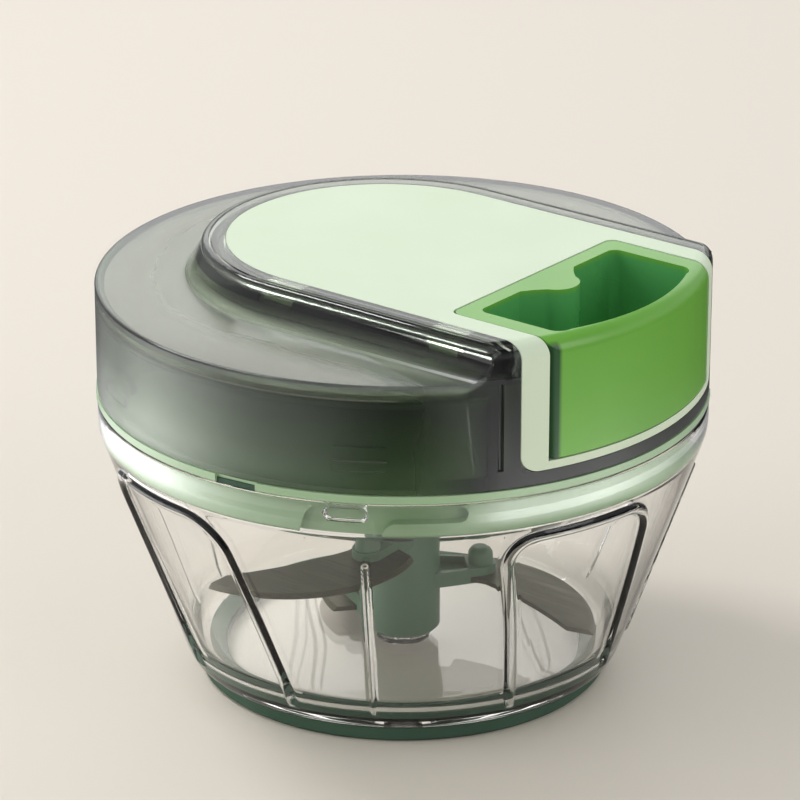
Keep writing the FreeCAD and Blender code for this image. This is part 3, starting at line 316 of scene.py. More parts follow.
def moulded_group():
    """Colour, Roughness and Normal of moulded plastic.

    Flow = soft noise of a few centimetres. Colour = base mixed towards a deeper tone by Flow, Roughness = base plus
    Flow times an amount, Normal = bump of a fine grain times its depth.
    """
    group = bpy.data.node_groups.new("moulded_plastic", "ShaderNodeTree")
    for name, kind, value in GROUP_INPUTS:
        group.interface.new_socket(name, in_out="INPUT", socket_type=kind).default_value = value
    for name, kind in GROUP_OUTPUTS:
        group.interface.new_socket(name, in_out="OUTPUT", socket_type=kind)
    into = add_node(group, "NodeGroupInput").outputs
    place = object_place(group)
    flow = ramp(group, noise(group, place, into["Flow Size"], 2.0), 0.2, 0.8)
    colour = blended(group, flow, into["Colour"], into["Deeper Colour"])
    gloss = add_node(group, "ShaderNodeMath", {"operation": "MULTIPLY_ADD"},
                     i0=flow, i1=into["Gloss Change"], i2=into["Gloss"]).outputs[0]
    grain = noise(group, place, into["Grain Size"], 1.0)
    bump = add_node(group, "ShaderNodeBump", Strength=into["Grain Depth"], Height=grain, Distance=BUMP_HEIGHT)
    add_node(group, "NodeGroupOutput", Colour=colour, Roughness=gloss, Normal=bump.outputs[0])
    return group


MOULDED = moulded_group()


def wire_moulded(tree, shader, **values):
    """Places the shared group with a piece's own values, wires its gloss and its grain, and returns its colour."""
    group = add_node(tree, "ShaderNodeGroup", {"node_tree": MOULDED}, **values).outputs
    tree.links.new(group["Roughness"], shader.inputs["Roughness"])
    tree.links.new(group["Normal"], shader.inputs["Normal"])
    return group["Colour"]


def moulded(name, colour, deeper, gloss, depth, grain=2500.0):
    """A plastic finish from the shared group, with this piece's own colour, gloss and grain."""
    material, tree, shader = new_material(name)
    tint = wire_moulded(tree, shader, Colour=colour, Deeper_Colour=deeper, Gloss=gloss, Grain_Size=grain,
                        Grain_Depth=depth)
    tree.links.new(tint, shader.inputs["Base Color"])
    shader.inputs["IOR"].default_value = PLASTIC_IOR
    return material


FINISH = {
    "pale_green": moulded("pale_green_satin", rgb(224, 238, 212), rgb(217, 233, 204), gloss=0.48, depth=0.02),
    "hub_green": moulded("hub_green_satin", rgb(88, 120, 98), rgb(80, 112, 90), gloss=0.38, depth=0.06),
    "dark_green": moulded("inner_dark_green", rgb(40, 62, 40), rgb(32, 52, 32), gloss=0.5, depth=0.05),
    "acetal": moulded("natural_acetal", rgb(228, 226, 216), rgb(218, 216, 204), gloss=0.4, depth=0.04),
    "silicone": moulded("green_silicone", rgb(58, 90, 70), rgb(46, 76, 58), gloss=0.55, depth=0.12, grain=1800.0),
    # The black gasket is a dark part put behind the frame's flank to stand in for the shade under the frame.
    "gasket": moulded("black_gasket_for_shade", rgb(16, 20, 16), rgb(12, 16, 12), gloss=0.6, depth=0.05),
}
print(len(FINISH), "moulded finishes")

# %% [markdown]
# ## Clear and smoke plastic
# Both are real refracting bodies with a wall thickness. Seen at a shallow angle, a moulded wall lets light through a
# longer way, so it darkens there, which draws the bead and the rim as fine dark lines. Shadow rays pass mostly
# through, because a clear bowl leaves hardly any shade on the table.


# %% See-through finishes
def see_through(name, colour, edge_colour, edge_power, shade):
    """Refracting plastic: its tint goes from colour, face on, to edge colour, by Layer Weight's facing to a power.

    Shade is the share of a shadow ray that it stops.
    """
    material, tree, shader = new_material(name)
    facing = add_node(tree, "ShaderNodeLayerWeight", Blend=0.5).outputs["Facing"]
    tint = blended(tree, maths(tree, "POWER", facing, edge_power), colour, edge_colour)
    tree.links.new(tint, shader.inputs["Base Color"])
    shadow = add_node(tree, "ShaderNodeLightPath").outputs["Is Shadow Ray"]
    alpha = add_node(tree, "ShaderNodeMath", {"operation": "MULTIPLY_ADD"}, i0=shadow, i1=shade - 1.0, i2=1.0)
    tree.links.new(alpha.outputs[0], shader.inputs["Alpha"])
    shader.inputs["Transmission Weight"].default_value = 1.0
    shader.inputs["IOR"].default_value = PLASTIC_IOR
    return material, tree, shader, tint


def clear_finish():
    """Polished clear plastic whose gloss wavers a little, by soft noise."""
    material, tree, shader, _ = see_through("clear_bowl_plastic", (0.99, 0.99, 0.985, 1), (0.30, 0.30, 0.28, 1),
                                            edge_power=5.0, shade=0.03)
    wave = noise(tree, object_place(tree), 120.0, 1.0)
    tree.links.new(ramp(tree, wave, 0.0, 1.0, 0.004, 0.012), shader.inputs["Roughness"])
    return material


FINISH["clear_plastic"] = clear_finish()
print("clear plastic")

# %% [markdown]
# A finish that changes from place to place needs masks: numbers from 0 to 1 worked out from where a point lies. On this
# lid three measures are enough: the height, the reach from the drive axis, and the distance from the plate's outline.

# %% Masks on the lid
FRAME_HALF, FRAME_END_X = 32.0, -5.0
PLATE_FOOT_Z, DECK_Z, FRAME_Z = 65.0, 84.5, 91.7


def plan_length(tree, x, y):
    """The length of a step in plan."""
    return vector_length(tree, add_node(tree, "ShaderNodeCombineXYZ", X=x, Y=y).outputs[0])


def plate_distance(tree, parts):
    """Distance from the plate's outline, in plan: to the X axis ahead of its round end, to the end's centre behind."""
    behind = maths(tree, "MINIMUM", maths(tree, "SUBTRACT", parts["X"], FRAME_END_X * MM), 0.0)
    return maths(tree, "SUBTRACT", plan_length(tree, behind, parts["Y"]), FRAME_HALF * MM)


def mask(tree, value, none, full, soft=False):
    """0 where the value, in mm, is at none or further out, and 1 where it is at full or further in."""
    return ramp(tree, value, none * MM, full * MM, soft=soft)


def where(tree, *limits):
    """The product of several masks, each given as a value, its none and its full."""
    return maths(tree, "MULTIPLY", *[mask(tree, *limit) for limit in limits])


def between(tree, value, low, high, edge):
    """1 between low and high, in mm, and 0 outside, with a slope as wide as the edge at both ends."""
    return where(tree, (value, low - edge, low), (value, high + edge, high))


print("plate half width", FRAME_HALF, "mm, deck at", DECK_Z, "mm and frame at", FRAME_Z, "mm")

# %% [markdown]
# Masks paint shade into the smoke cover's tint, which is one tint for a thin body: darker over the flank, the round
# between deck and wall, the front corner and below the plate's foot, darkest on the rim, in a line on the frame and
# where the gasket lies behind the flank.

# %% Smoke cover
CLIP_WINDOWS = ((-6.2, 1.5), (35.0, 43.2))
# Distances from the plate's outline: the flank from its top to its foot, the frame's outer edge and the painted dark
# line on it, and the gasket behind the flank.
FLANK_FROM, FLANK_TO, FRAME_EDGE, LINE_FROM, GASKET_SPAN = 3.2, 8.0, 5.2, 3.7, (4.6, 6.2)
# How far the flank's foot runs out towards the front, and between which places along X.
FOOT_RUN, FOOT_RUN_FROM, FOOT_RUN_TO = 7.0, 22.0, 46.0
# Reach at which the painted shade of the rim, of the thick round below it and of the front corner is full.
RIM_REACH, ROUND_REACH, CORNER_REACH = 61.9, 61.9, 60.0
SMOKE, SMOKE_EDGE = (0.53, 0.58, 0.49, 1), (0.20, 0.22, 0.18, 1)
# Painted shade: tints that the masks lay over the smoke tint, for the flank, the deeper parts, the rim and the gasket.
FLANK_SHADE, DEEP_SHADE = (0.21, 0.27, 0.16, 1), (0.04, 0.055, 0.03, 1)
RIM_SHADE, GASKET_SHADE = (0.03, 0.035, 0.03, 1), (0.012, 0.014, 0.012, 1)


def gasket_shade_strip(tree, away, height, along):
    """Where painted shade marks the gasket behind the flank. It is left out where the plate's clips come through."""
    strip = maths(tree, "MULTIPLY", between(tree, height, FRAME_Z - 3.3, FRAME_Z - 1.3, 0.3),
                  between(tree, away, *GASKET_SPAN, 0.2))
    for low, high in CLIP_WINDOWS:
        strip = maths(tree, "MULTIPLY", strip, maths(tree, "SUBTRACT", 1.0, between(tree, along, low, high, 0.3)))
    return strip


def smoke_finish_with_shade():
    """Smoke plastic: satin deck and wall, a polished frame round the plate, and painted shade on its flank, rim and
    corner.
    """
    material, tree, shader, tint = see_through("smoke_cover_painted_shade", SMOKE, SMOKE_EDGE, edge_power=2.5, shade=0.35)
    place = object_place(tree)
    parts = xyz(tree, place)
    along, height = parts["X"], parts["Z"]
    away, reach = plate_distance(tree, parts), plan_length(tree, along, parts["Y"])

    run_out = ramp(tree, along, FOOT_RUN_FROM * MM, FOOT_RUN_TO * MM, 0.0, FOOT_RUN * MM)
    foot_line = maths(tree, "SUBTRACT", away, run_out)
    flank = maths(tree, "MULTIPLY", mask(tree, foot_line, FLANK_TO + 1.2, FLANK_TO, soft=True), where(
        tree, (away, FLANK_FROM - 0.4, FLANK_FROM), (height, FRAME_Z - 0.8, FRAME_Z - 1.6),
        (height, DECK_Z - 3.0, DECK_Z - 2.0)))
    fore = maths(tree, "MULTIPLY", flank, where(tree, (along, 30.0, 44.0), (height, DECK_Z + 3.0, DECK_Z + 1.0)))
    top = where(tree, (away, FRAME_EDGE + 0.4, FRAME_EDGE), (height, FRAME_Z - 2.4, FRAME_Z - 1.6))
    edge = maths(tree, "MULTIPLY", mask(tree, away, LINE_FROM - 0.4, LINE_FROM), top)
    rim = where(tree, (reach, RIM_REACH - 0.3, RIM_REACH), (height, DECK_Z - 0.9, DECK_Z - 0.6))
    thick = where(tree, (reach, ROUND_REACH - 0.2, ROUND_REACH), (height, DECK_Z - 3.8, DECK_Z - 2.6))
    corner = maths(tree, "MULTIPLY", between(tree, away, 0.0, FRAME_EDGE + 0.4, 0.3), where(
        tree, (reach, CORNER_REACH - 1.0, CORNER_REACH), (along, 30.0, 31.0), (height, FRAME_Z - 1.0, FRAME_Z - 2.0)))
    under = where(tree, (height, PLATE_FOOT_Z + 0.4, PLATE_FOOT_Z + 0.1), (along, 43.0, 50.0))

    # Painted shade: deep on the round, the corner, below the plate's foot and at the flank's front; darkest on rim and
    # line.
    deeper = maths(tree, "MAXIMUM", thick, corner, under, fore)
    darkest_shade = maths(tree, "MAXIMUM", rim, edge)
    strip = gasket_shade_strip(tree, away, height, along)
    for amount, colour in ((flank, FLANK_SHADE), (deeper, DEEP_SHADE), (darkest_shade, RIM_SHADE), (strip, GASKET_SHADE)):
        tint = blended(tree, amount, tint, colour)
    tree.links.new(tint, shader.inputs["Base Color"])

    # Roughness: a soft wave, smoother on the frame, and rougher at the flank's foot and on the deck near the frame.
    wave = ramp(tree, noise(tree, place, 90.0, 2.0), 0.0, 1.0, 0.11, 0.17)
    foot = ramp(tree, height, (DECK_Z + 3.0) * MM, (DECK_Z + 1.0) * MM, -0.03, 0.10)
    near = maths(tree, "MULTIPLY", ramp(tree, away, 26.0 * MM, 11.0 * MM, 0.0, 0.16, soft=True),
                 mask(tree, height, DECK_Z + 0.6, DECK_Z + 0.2))
    rough = maths(tree, "ADD", wave, maths(tree, "MULTIPLY", flank, foot), maths(tree, "MULTIPLY", top, -0.05), near)
    tree.links.new(rough, shader.inputs["Roughness"])
    return material


FINISH["smoke_plastic"] = smoke_finish_with_shade()
print("smoke plastic, with", len(CLIP_WINDOWS), "windows for clips on each side")

# %% [markdown]
# ## Steel
# Blades are stamped from strip, and the strip's rolling lines stay. A long thin noise gives the lines, in roughness
# and in a shallow bump. Springs and pins are smoother.


# %% Metal finishes
ROLLED_STRETCH, ROLLED_TURN = 30.0, 0.6


def steel(name, colour, gloss, line_size, depth):
    """Rolled steel: noise stretched thirty times along X makes its lines, which feed Roughness and a bump."""
    material, tree, shader = new_material(name)
    drawn = add_node(tree, "ShaderNodeMapping", Vector=object_place(tree), Rotation=(0, 0, ROLLED_TURN),
                     Scale=(1.0, ROLLED_STRETCH, ROLLED_STRETCH)).outputs[0]
    lines = noise(tree, drawn, line_size, 3.0)
    rough = ramp(tree, lines, 0.3, 0.7, gloss * 0.75, gloss * 1.3)
    bump = add_node(tree, "ShaderNodeBump", Strength=depth, Height=lines, Distance=BUMP_HEIGHT).outputs[0]
    tint = blended(tree, lines, colour, tuple(c * 0.82 for c in colour[:3]) + (1.0,))
    for value, socket in ((tint, "Base Color"), (rough, "Roughness"), (bump, "Normal")):
        tree.links.new(value, shader.inputs[socket])
    shader.inputs["Metallic"].default_value = 1.0
    return material


FINISH["blade_steel"] = steel("blade_steel", rgb(72, 72, 57), 0.40, 60.0, 0.2)
FINISH["pin_steel"] = steel("pin_steel", rgb(205, 204, 200), 0.18, 90.0, 0.1)
FINISH["spring_steel"] = steel("spring_steel", rgb(120, 126, 134), 0.25, 90.0, 0.1)
FINISH["screw_steel"] = steel("screw_steel", rgb(210, 210, 208), 0.2, 90.0, 0.1)
print("four metal finishes")

# %% [markdown]
# ## Housing, handle and deck
# These three are moulded plastic too, and masks paint shade into their colour: the housing darkens behind the smoke
# cover, the handle in its pocket and at its left edge, and the deck towards the drum well and on its side. The shared
# group gives the gloss and the grain, and the masks lay the painted shades over its own colour.


# %% Sage green of the housing, deeper green with painted shade above its flange
# Heights of the painted shade behind the smoke cover: where it starts, its middle and its top.
FLANGE_TOP_Z, BEHIND_FOOT_Z, BEHIND_MIDDLE_Z, BEHIND_TOP_Z = 62.0, 63.5, 69.0, 78.0


def sage_finish():
    """Pale sage for the flange and the band. Above the flange, behind the smoke cover, painted shade darkens it to the
    top.
    """
    material, tree, shader = new_material("sage_housing_painted_shade")
    tint = wire_moulded(tree, shader, Colour=rgb(170, 200, 160), Deeper_Colour=rgb(160, 190, 150), Gloss=0.22,
                        Gloss_Change=0.05, Grain_Depth=0.03)
    height = xyz(tree, object_place(tree))["Z"]
    lower, upper = mask(tree, height, BEHIND_FOOT_Z, BEHIND_MIDDLE_Z), mask(tree, height, BEHIND_MIDDLE_Z, BEHIND_TOP_Z)
    middle = blended(tree, lower, rgb(112, 146, 100), rgb(74, 106, 60))
    behind = blended(tree, upper, middle, rgb(42, 62, 36))
    above = mask(tree, height, FLANGE_TOP_Z, FLANGE_TOP_Z + 0.1)
    tree.links.new(blended(tree, above, tint, behind), shader.inputs["Base Color"])
    return material


FINISH["sage_green"] = sage_finish()
print("sage housing")


# %% Leaf green of the handle
# Where painted shade goes: the finger pocket, and the front's left edge.
POCKET_HALF, POCKET_TOP_Z, POCKET_FRONT_R, POCKET_BACK_X = 22.9, 91.3, 60.3, 33.0
LEFT_EDGE_Y, LEFT_EDGE_R, LEFT_EDGE_TOP_Z = -24.2, 60.4, 90.9


def handle_finish():
    """Leaf green, with painted shade: cooler and deeper in the finger pocket, and dark where the front turns to its
    left side.
    """
    material, tree, shader = new_material("leaf_green_painted_shade")
    tint = wire_moulded(tree, shader, Colour=rgb(118, 182, 72), Deeper_Colour=rgb(106, 172, 62), Gloss=0.26,
                        Gloss_Change=0.05, Grain_Depth=0.03)
    parts = xyz(tree, object_place(tree))
    reach = plan_length(tree, parts["X"], parts["Y"])
    aside = of_one(tree, "ABSOLUTE", parts["Y"])
    pocket = where(tree, (aside, POCKET_HALF, POCKET_HALF - 0.3), (parts["Z"], POCKET_TOP_Z, POCKET_TOP_Z - 1.0),
                   (reach, POCKET_FRONT_R, POCKET_FRONT_R - 0.2), (parts["X"], POCKET_BACK_X, POCKET_BACK_X + 0.5))
    left_edge_shade = where(tree, (parts["Y"], LEFT_EDGE_Y, LEFT_EDGE_Y - 0.8), (reach, LEFT_EDGE_R, LEFT_EDGE_R + 0.5),
                      (parts["Z"], LEFT_EDGE_TOP_Z, LEFT_EDGE_TOP_Z - 1.0))
    # Painted shade: cooler and deeper in the pocket, dark green on the left edge.
    tint = blended(tree, pocket, tint, rgb(90, 170, 98))
    tree.links.new(blended(tree, left_edge_shade, tint, rgb(30, 76, 34)), shader.inputs["Base Color"])
    return material


FINISH["leaf_green"] = handle_finish()
print("leaf green handle")


# %% Grey of the deck
# Painted shade towards the drum well reaches this distance from the plate's outline, and by the spread further forward.
SHADE_TO, SHADE_SPREAD, SPREAD_FROM, SPREAD_TO = 7.0, 12.0, 18.0, 44.0
# Below this height the deck's side is painted dark green as shade.
DECK_SIDE_Z = 81.0


def deck_finish():
    """Pale grey deck under the smoke cover, with dark green painted shade towards the drum well, wider at the front,
    and on its rim.
    """
    material, tree, shader = new_material("inner_deck_painted_shade")
    tint = wire_moulded(tree, shader, Colour=rgb(180, 171, 168), Deeper_Colour=rgb(172, 164, 161), Gloss=0.5,
                        Grain_Depth=0.03)
    parts = xyz(tree, object_place(tree))
    spread = ramp(tree, parts["X"], SPREAD_FROM * MM, SPREAD_TO * MM, 0.0, SHADE_SPREAD * MM)
    off = maths(tree, "SUBTRACT", plate_distance(tree, parts), spread)
    tint = blended(tree, mask(tree, off, SHADE_TO + 1.8, SHADE_TO, soft=True), tint, rgb(88, 104, 84))
    tint = blended(tree, mask(tree, parts["Z"], DECK_SIDE_Z + 0.1, DECK_SIDE_Z), tint, rgb(44, 64, 38))
    tree.links.new(tint, shader.inputs["Base Color"])
    return material


FINISH["deck"] = deck_finish()
print("pale deck")

# %% [markdown]
# ## Smooth copies of the moulded solids
# An imported solid arrives as loose flat triangles. A copy of it is welded and shaded smooth, sharp where faces meet
# at a steep angle, and most copies get weighted normals. The copy stands for the solid and rides on the same body.

# %% Slots and bodies
NODE_FINISH = {
    "anti_slip_ring": "silicone", "centre_pin": "pin_steel", "lid_seal": "silicone", "lower_housing": "sage_green",
    "inner_deck": "deck", "smoke_cover": "smoke_plastic", "frame_gasket": "gasket", "top_plate": "pale_green",
    "drum_housing": "dark_green", "spring_cap": "dark_green", "clock_spring": "spring_steel", "lower_bush": "acetal",
    "upper_bush": "acetal", "cord_eyelet": "acetal", "housing_screws": "screw_steel", "pull_handle": "leaf_green",
    "cord_drum": "acetal", "drive_shaft": "acetal", "clutch_disc": "acetal", "thrust_washer": "pin_steel",
    "shaft_clip": "spring_steel", "blade_hub": "hub_green", "blade_pegs": "hub_green", "upper_blade": "blade_steel",
    "middle_blade": "blade_steel", "lower_blade": "blade_steel",
}
# The cover is one swept shell, whose long faces shade evenly without weighted normals.
SWEPT = {"smoke_cover"}
SHARP_ANGLE = math.radians(32)
record = frame["record"]
NODE_BODY = {node: body for body, nodes in record["behaviour"]["bodies"].items() for node in nodes}


# %% Smooth copy
def smooth_copy(node, finish):
    """A welded copy of a solid's mesh, smooth where faces meet at under the sharp angle."""
    mesh = frame["nodes"][node].data.copy()
    mesh.name = node + "_skin"
    mesh.materials.clear()
    mesh.materials.append(FINISH[finish])
    shape = bmesh.new()
    shape.from_mesh(mesh)
    bmesh.ops.remove_doubles(shape, verts=shape.verts, dist=0.001 * MM)
    shape.to_mesh(mesh)
    shape.free()
    packed_normals = mesh.attributes.get("custom_normal")
    if packed_normals:
        mesh.attributes.remove(packed_normals)
    mesh.shade_smooth()
    mesh.set_sharp_from_angle(angle=SHARP_ANGLE)
    skin = bpy.data.objects.new(node + "_skin", mesh)
    scene.collection.objects.link(skin)
    if node not in SWEPT:
        skin.modifiers.new("even_shading", "WEIGHTED_NORMAL").keep_sharp = True
    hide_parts(node)
    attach(skin, NODE_BODY[node])
    return skin


skins = {node: smooth_copy(node, finish) for node, finish in NODE_FINISH.items()}
print(len(skins), "smooth copies")

# %% [markdown]
# The cover's two edges decide how its light falls. Its rim is tightened from a round of 1.3 mm to a finer one, and its
# flank, hollow on the solid, is drawn as the straight slope between the same two edges, so that it ends in a crease.
# Its wall is thinned from inside, and the deck's edge is carried out to it, because a thick wall bends a pale band of
# light in below the rim.

# %% Crisper cover
LID_R, RIM_ROUND, FINE_ROUND = 62.5, 1.3, 0.55
# The wall's inside, how far in from it its vertices lie, and how much it is thinned.
WALL_INSIDE_R, WALL_SPREAD, WALL_THINNED = 60.3, 0.9, 1.0
DECK_UNDER_Z, DECK_EDGE_R, DECK_GAP = 82.3, 59.2, 0.1
FLANK_TOP, FLANK_MIDDLE, FLANK_FOOT = np.array([5.1, 90.2]), np.array([5.75, 86.6]), np.array([8.4, 84.5])
# How close to a surface its vertices lie, and what is left free at the ends of an arc.
ON_SURFACE, SPARE, ARC_END = 0.06, 0.05, 0.01


def circle_through(a, b, c):
    """Centre and radius of the circle through three points in a plane."""
    (ax, ay), (bx, by), (cx, cy) = a, b, c
    twice = 2 * (ax * (by - cy) + bx * (cy - ay) + cx * (ay - by))
    x = ((ax ** 2 + ay ** 2) * (by - cy) + (bx ** 2 + by ** 2) * (cy - ay) + (cx ** 2 + cy ** 2) * (ay - by)) / twice
    y = ((ax ** 2 + ay ** 2) * (cx - bx) + (bx ** 2 + by ** 2) * (ax - cx) + (cx ** 2 + cy ** 2) * (bx - ax)) / twice
    return np.array([x, y]), math.hypot(ax - x, ay - y)


def crisper_cover(points):
    """Moves the rim's, the wall's and the flank's vertices, in mm, each within its own section plane.

    Rim: a vertex at direction n from the round's centre goes to the finer round's centre plus its radius times n.
    Wall: the vertices of its inside go out by as much as it is thinned.
    Flank: a vertex on the hollow arc goes out, at its own height, to the chord between the arc's ends.
    """
    points = points.copy()
    x, y, z = points.T.copy()
    reach = np.hypot(x, y)
    inside = (reach > WALL_INSIDE_R - WALL_SPREAD) & (reach < WALL_INSIDE_R + SPARE) & (z < DECK_UNDER_Z + SPARE)
    points[inside, :2] *= (1 + WALL_THINNED / reach[inside])[:, None]
    section = np.column_stack([reach, z])
    centre = np.array([LID_R - RIM_ROUND, DECK_Z - RIM_ROUND])
    out = section - centre
    length = np.linalg.norm(out, axis=1)
    rim = (np.abs(length - RIM_ROUND) < ON_SURFACE) & (out.min(axis=1) > -ON_SURFACE)
    finer = centre + (RIM_ROUND - FINE_ROUND) + out / np.maximum(length, 1e-9)[:, None] * FINE_ROUND
    points[rim, :2] *= (finer[rim, 0] / reach[rim])[:, None]
    points[rim, 2] = finer[rim, 1]

    ahead = np.minimum(x - FRAME_END_X, 0)
    from_line = np.maximum(np.hypot(ahead, y), 1e-9)
    away = from_line - FRAME_HALF
    middle, radius = circle_through(FLANK_TOP, FLANK_MIDDLE, FLANK_FOOT)
    off = np.abs(np.hypot(away - middle[0], z - middle[1]) - radius)
    on_arc = (off < ON_SURFACE) & (z > FLANK_FOOT[1] + ARC_END) & (z < FLANK_TOP[1] - ARC_END)
    flank = on_arc & (reach < LID_R - 0.3) & (away > 5.0)
    chord = FLANK_TOP[0] + (FLANK_TOP[1] - z) * (FLANK_FOOT[0] - FLANK_TOP[0]) / (FLANK_TOP[1] - FLANK_FOOT[1])
    step = np.where(flank, chord - away, 0.0)
    points[:, 0] += step * ahead / from_line
    points[:, 1] += step * y / from_line
    print("cover:", int(rim.sum()), "rim,", int(inside.sum()), "wall and", int(flank.sum()), "flank vertices moved")
    return points


def wider_deck(points):
    """Carries the vertices of the deck's edge, in mm, straight out to the thinned wall."""
    points = points.copy()
    reach = np.hypot(points[:, 0], points[:, 1])
    edge = reach > DECK_EDGE_R - 0.3
    points[edge, :2] *= ((WALL_INSIDE_R + WALL_THINNED - DECK_GAP) / reach[edge])[:, None]
    low, high = points[edge, 2].min().round(2), points[edge, 2].max().round(2)
    print("deck:", int(edge.sum()), "vertices moved, z", low, "to", high)
    return points


def reshape(skin, change):
    """Gives a skin's vertices to a function of an array in mm, and puts its answer back."""
    mesh = skin.data
    flat = np.empty(len(mesh.vertices) * 3)
    mesh.vertices.foreach_get("co", flat)
    mesh.vertices.foreach_set("co", (change(flat.reshape(-1, 3) / MM) * MM).ravel())
    mesh.update()
    mesh.set_sharp_from_angle(angle=SHARP_ANGLE)


reshape(skins["smoke_cover"], crisper_cover)
reshape(skins["inner_deck"], wider_deck)

# %% [markdown]
# ## The clear bowl
# On the real bowl four raised frames give the fingers a grip, and the light bends in them like in glass rods. A frame
# could be a swept tube joined to a cone, but then a seam would show in the clear wall. Here the bowl is one closed
# surface: a profile turned about the axis, whose outer wall is pushed out along its normal where a bead passes.


# %% Grid surfaces
def grid_object(name, points, finish, body):
    """A mesh from a grid of points, rows by columns: each row is a closed ring, and points that meet are merged."""
    rows, columns = points.shape[:2]
    index = np.arange(rows * columns).reshape(rows, columns)
    beside = np.roll(index, -1, axis=1)
    quads = np.stack([index[:-1], beside[:-1], beside[1:], index[1:]], axis=-1).reshape(-1, 4)
    mesh = bpy.data.meshes.new(name)
    mesh.from_pydata(points.reshape(-1, 3) * MM, [], quads.tolist())
    mesh.materials.append(FINISH[finish])
    shape = bmesh.new()
    shape.from_mesh(mesh)
    bmesh.ops.remove_doubles(shape, verts=shape.verts, dist=0.002 * MM)
    bmesh.ops.recalc_face_normals(shape, faces=shape.faces)
    shape.to_mesh(mesh)
    shape.free()
    mesh.shade_smooth()
    piece = bpy.data.objects.new(name, mesh)
    scene.collection.objects.link(piece)
    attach(piece, body)
    print(name, len(mesh.polygons), "faces")
    return piece


CORNER_STEPS, SIDE_SHARE = 4, 0.45


def rounded_profile(corners):
    """An open profile whose corners (r, z, radius) are rounded.

    Each corner is replaced by a quadratic curve between the points that lie a radius away from it along both sides,
    or a share of the side where that is shorter.
    """
    points = [np.array(corners[0][:2], float)]
    for before, corner, after in zip(corners, corners[1:], corners[2:]):
        at, radius = np.array(corner[:2], float), corner[2]
        start, end = (at + side / np.linalg.norm(side) * min(radius, np.linalg.norm(side) * SIDE_SHARE)
                      for side in (np.array(before[:2]) - at, np.array(after[:2]) - at))
        t = np.linspace(0, 1, CORNER_STEPS + 1)[:, None]
        points.append(start * (1 - t) ** 2 + 2 * at * t * (1 - t) + end * t ** 2)
    points.append(np.array(corners[-1][:2], float))
    return np.vstack(points)


# %% Bowl profile and columns
WALL_LOW, WALL_HIGH = (45.6, 6.0), (61.9, 52.5)
WALL, RIM_R, RIM_INNER_R, RIM_Z = 2.3, 62.5, 60.4, 60.0
FLOOR_Z, UNDERSIDE_Z, RING_Z = 4.6, 2.0, 3.14
PIN_R, PIN_FOOT_Z, BOSS_R, BOSS_Z = 2.5, 2.6, 5.5, 5.4
WALL_START_Z, FINE_ROWS_Z, WALL_END_Z = 7.5, 41.5, 52.2
RING_INNER_R, RING_OUTER_R = 37.7, 42.4
PANEL_TOP_Z, PANEL_FOOT_Z, PANEL_CORNER = 50.8, 6.2, 7.5
PANEL_TOP, PANEL_FOOT = (-33.2, 0.5), (-24.5, 9.8)
BEAD_R, BEAD_SINK = 1.4, 0.49
RIB_ANGLE, RIB_R, RIB_LOW, RIB_HIGH = -59.2, 0.7, 8.0, 46.5
WALL_TOP_INSIDE = np.array([60.05, 52.2])
LUG_ANGLE, LUG_TIP_R, LUG_Z, LUG_HALF, LUG_ROUND, LUG_ROWS = -62.6, 57.95, 57.1, 4.0, 1.3, 1.9
# Degrees by which the columns lean towards the foot, as the panels' sides do.
LEAN = 9.0


def wall_radius(z):
    """The outer wall's radius at height z, on the straight line from its low to its high end."""
    return WALL_LOW[0] + (z - WALL_LOW[1]) * (WALL_HIGH[0] - WALL_LOW[0]) / (WALL_HIGH[1] - WALL_LOW[1])


def column_angles():
    """Angles at the panels' top height, fine where a bead or a rib runs and coarse between, for four quarters."""
    stretches = ((-36.8, -28.4, 38), (-28.4, -6.8, 18), (-6.8, 3.1, 44), (3.1, 20.6, 14), (20.6, 32.0, 48),
                 (32.0, 53.2, 16))
    quarter = np.concatenate([np.linspace(a, b, n, endpoint=False) for a, b, n in stretches])
    return np.concatenate([quarter + 90 * k for k in range(4)])


def bead_height(distance, radius, sink):
    """How far a rod of this radius, sunk below the wall, stands out at a distance from its centre line, eased in."""
    rod = np.sqrt(np.maximum(radius ** 2 - distance ** 2, 0)) - sink
    ease = 0.12
    return 0.5 * (rod + np.sqrt(rod ** 2 + ease ** 2)) * (distance < radius * 1.6)


def frame_distance(degrees, z):
    """Distance on the wall from the nearest panel's outline: a frame with straight sides and round upper corners."""
    share = np.clip((z - PANEL_FOOT_Z) / (PANEL_TOP_Z - PANEL_FOOT_Z), -0.2, 1.2)
    left = PANEL_FOOT[0] + share * (PANEL_TOP[0] - PANEL_FOOT[0])
    right = PANEL_FOOT[1] + share * (PANEL_TOP[1] - PANEL_FOOT[1])
    off = (degrees - (left + right) / 2 + 45) % 90 - 45
    scale = np.radians(1) * wall_radius(z)
    beside = np.abs(off) * scale - (right - left) / 2 * scale + PANEL_CORNER
    slope = math.hypot(WALL_HIGH[0] - WALL_LOW[0], WALL_HIGH[1] - WALL_LOW[1]) / (WALL_HIGH[1] - WALL_LOW[1])
    above = (z - PANEL_TOP_Z) * slope + PANEL_CORNER
    round_part = np.hypot(np.maximum(beside, 0), np.maximum(above, 0))
    return np.abs(round_part + np.minimum(np.maximum(beside, above), 0) - PANEL_CORNER)


def lug_height(degrees, z):
    """How far a bayonet lug stands in from the rim: full inside a level stadium, nothing outside it, a steep side."""
    along = ((degrees - LUG_ANGLE + 60) % 120 - 60) * np.radians(1) * LUG_TIP_R
    outside = np.hypot(np.maximum(np.abs(along) - LUG_HALF + LUG_ROUND, 0), z - LUG_Z) - LUG_ROUND
    return (RIM_INNER_R - LUG_TIP_R) * np.clip(0.5 - outside / 0.2, 0, 1)


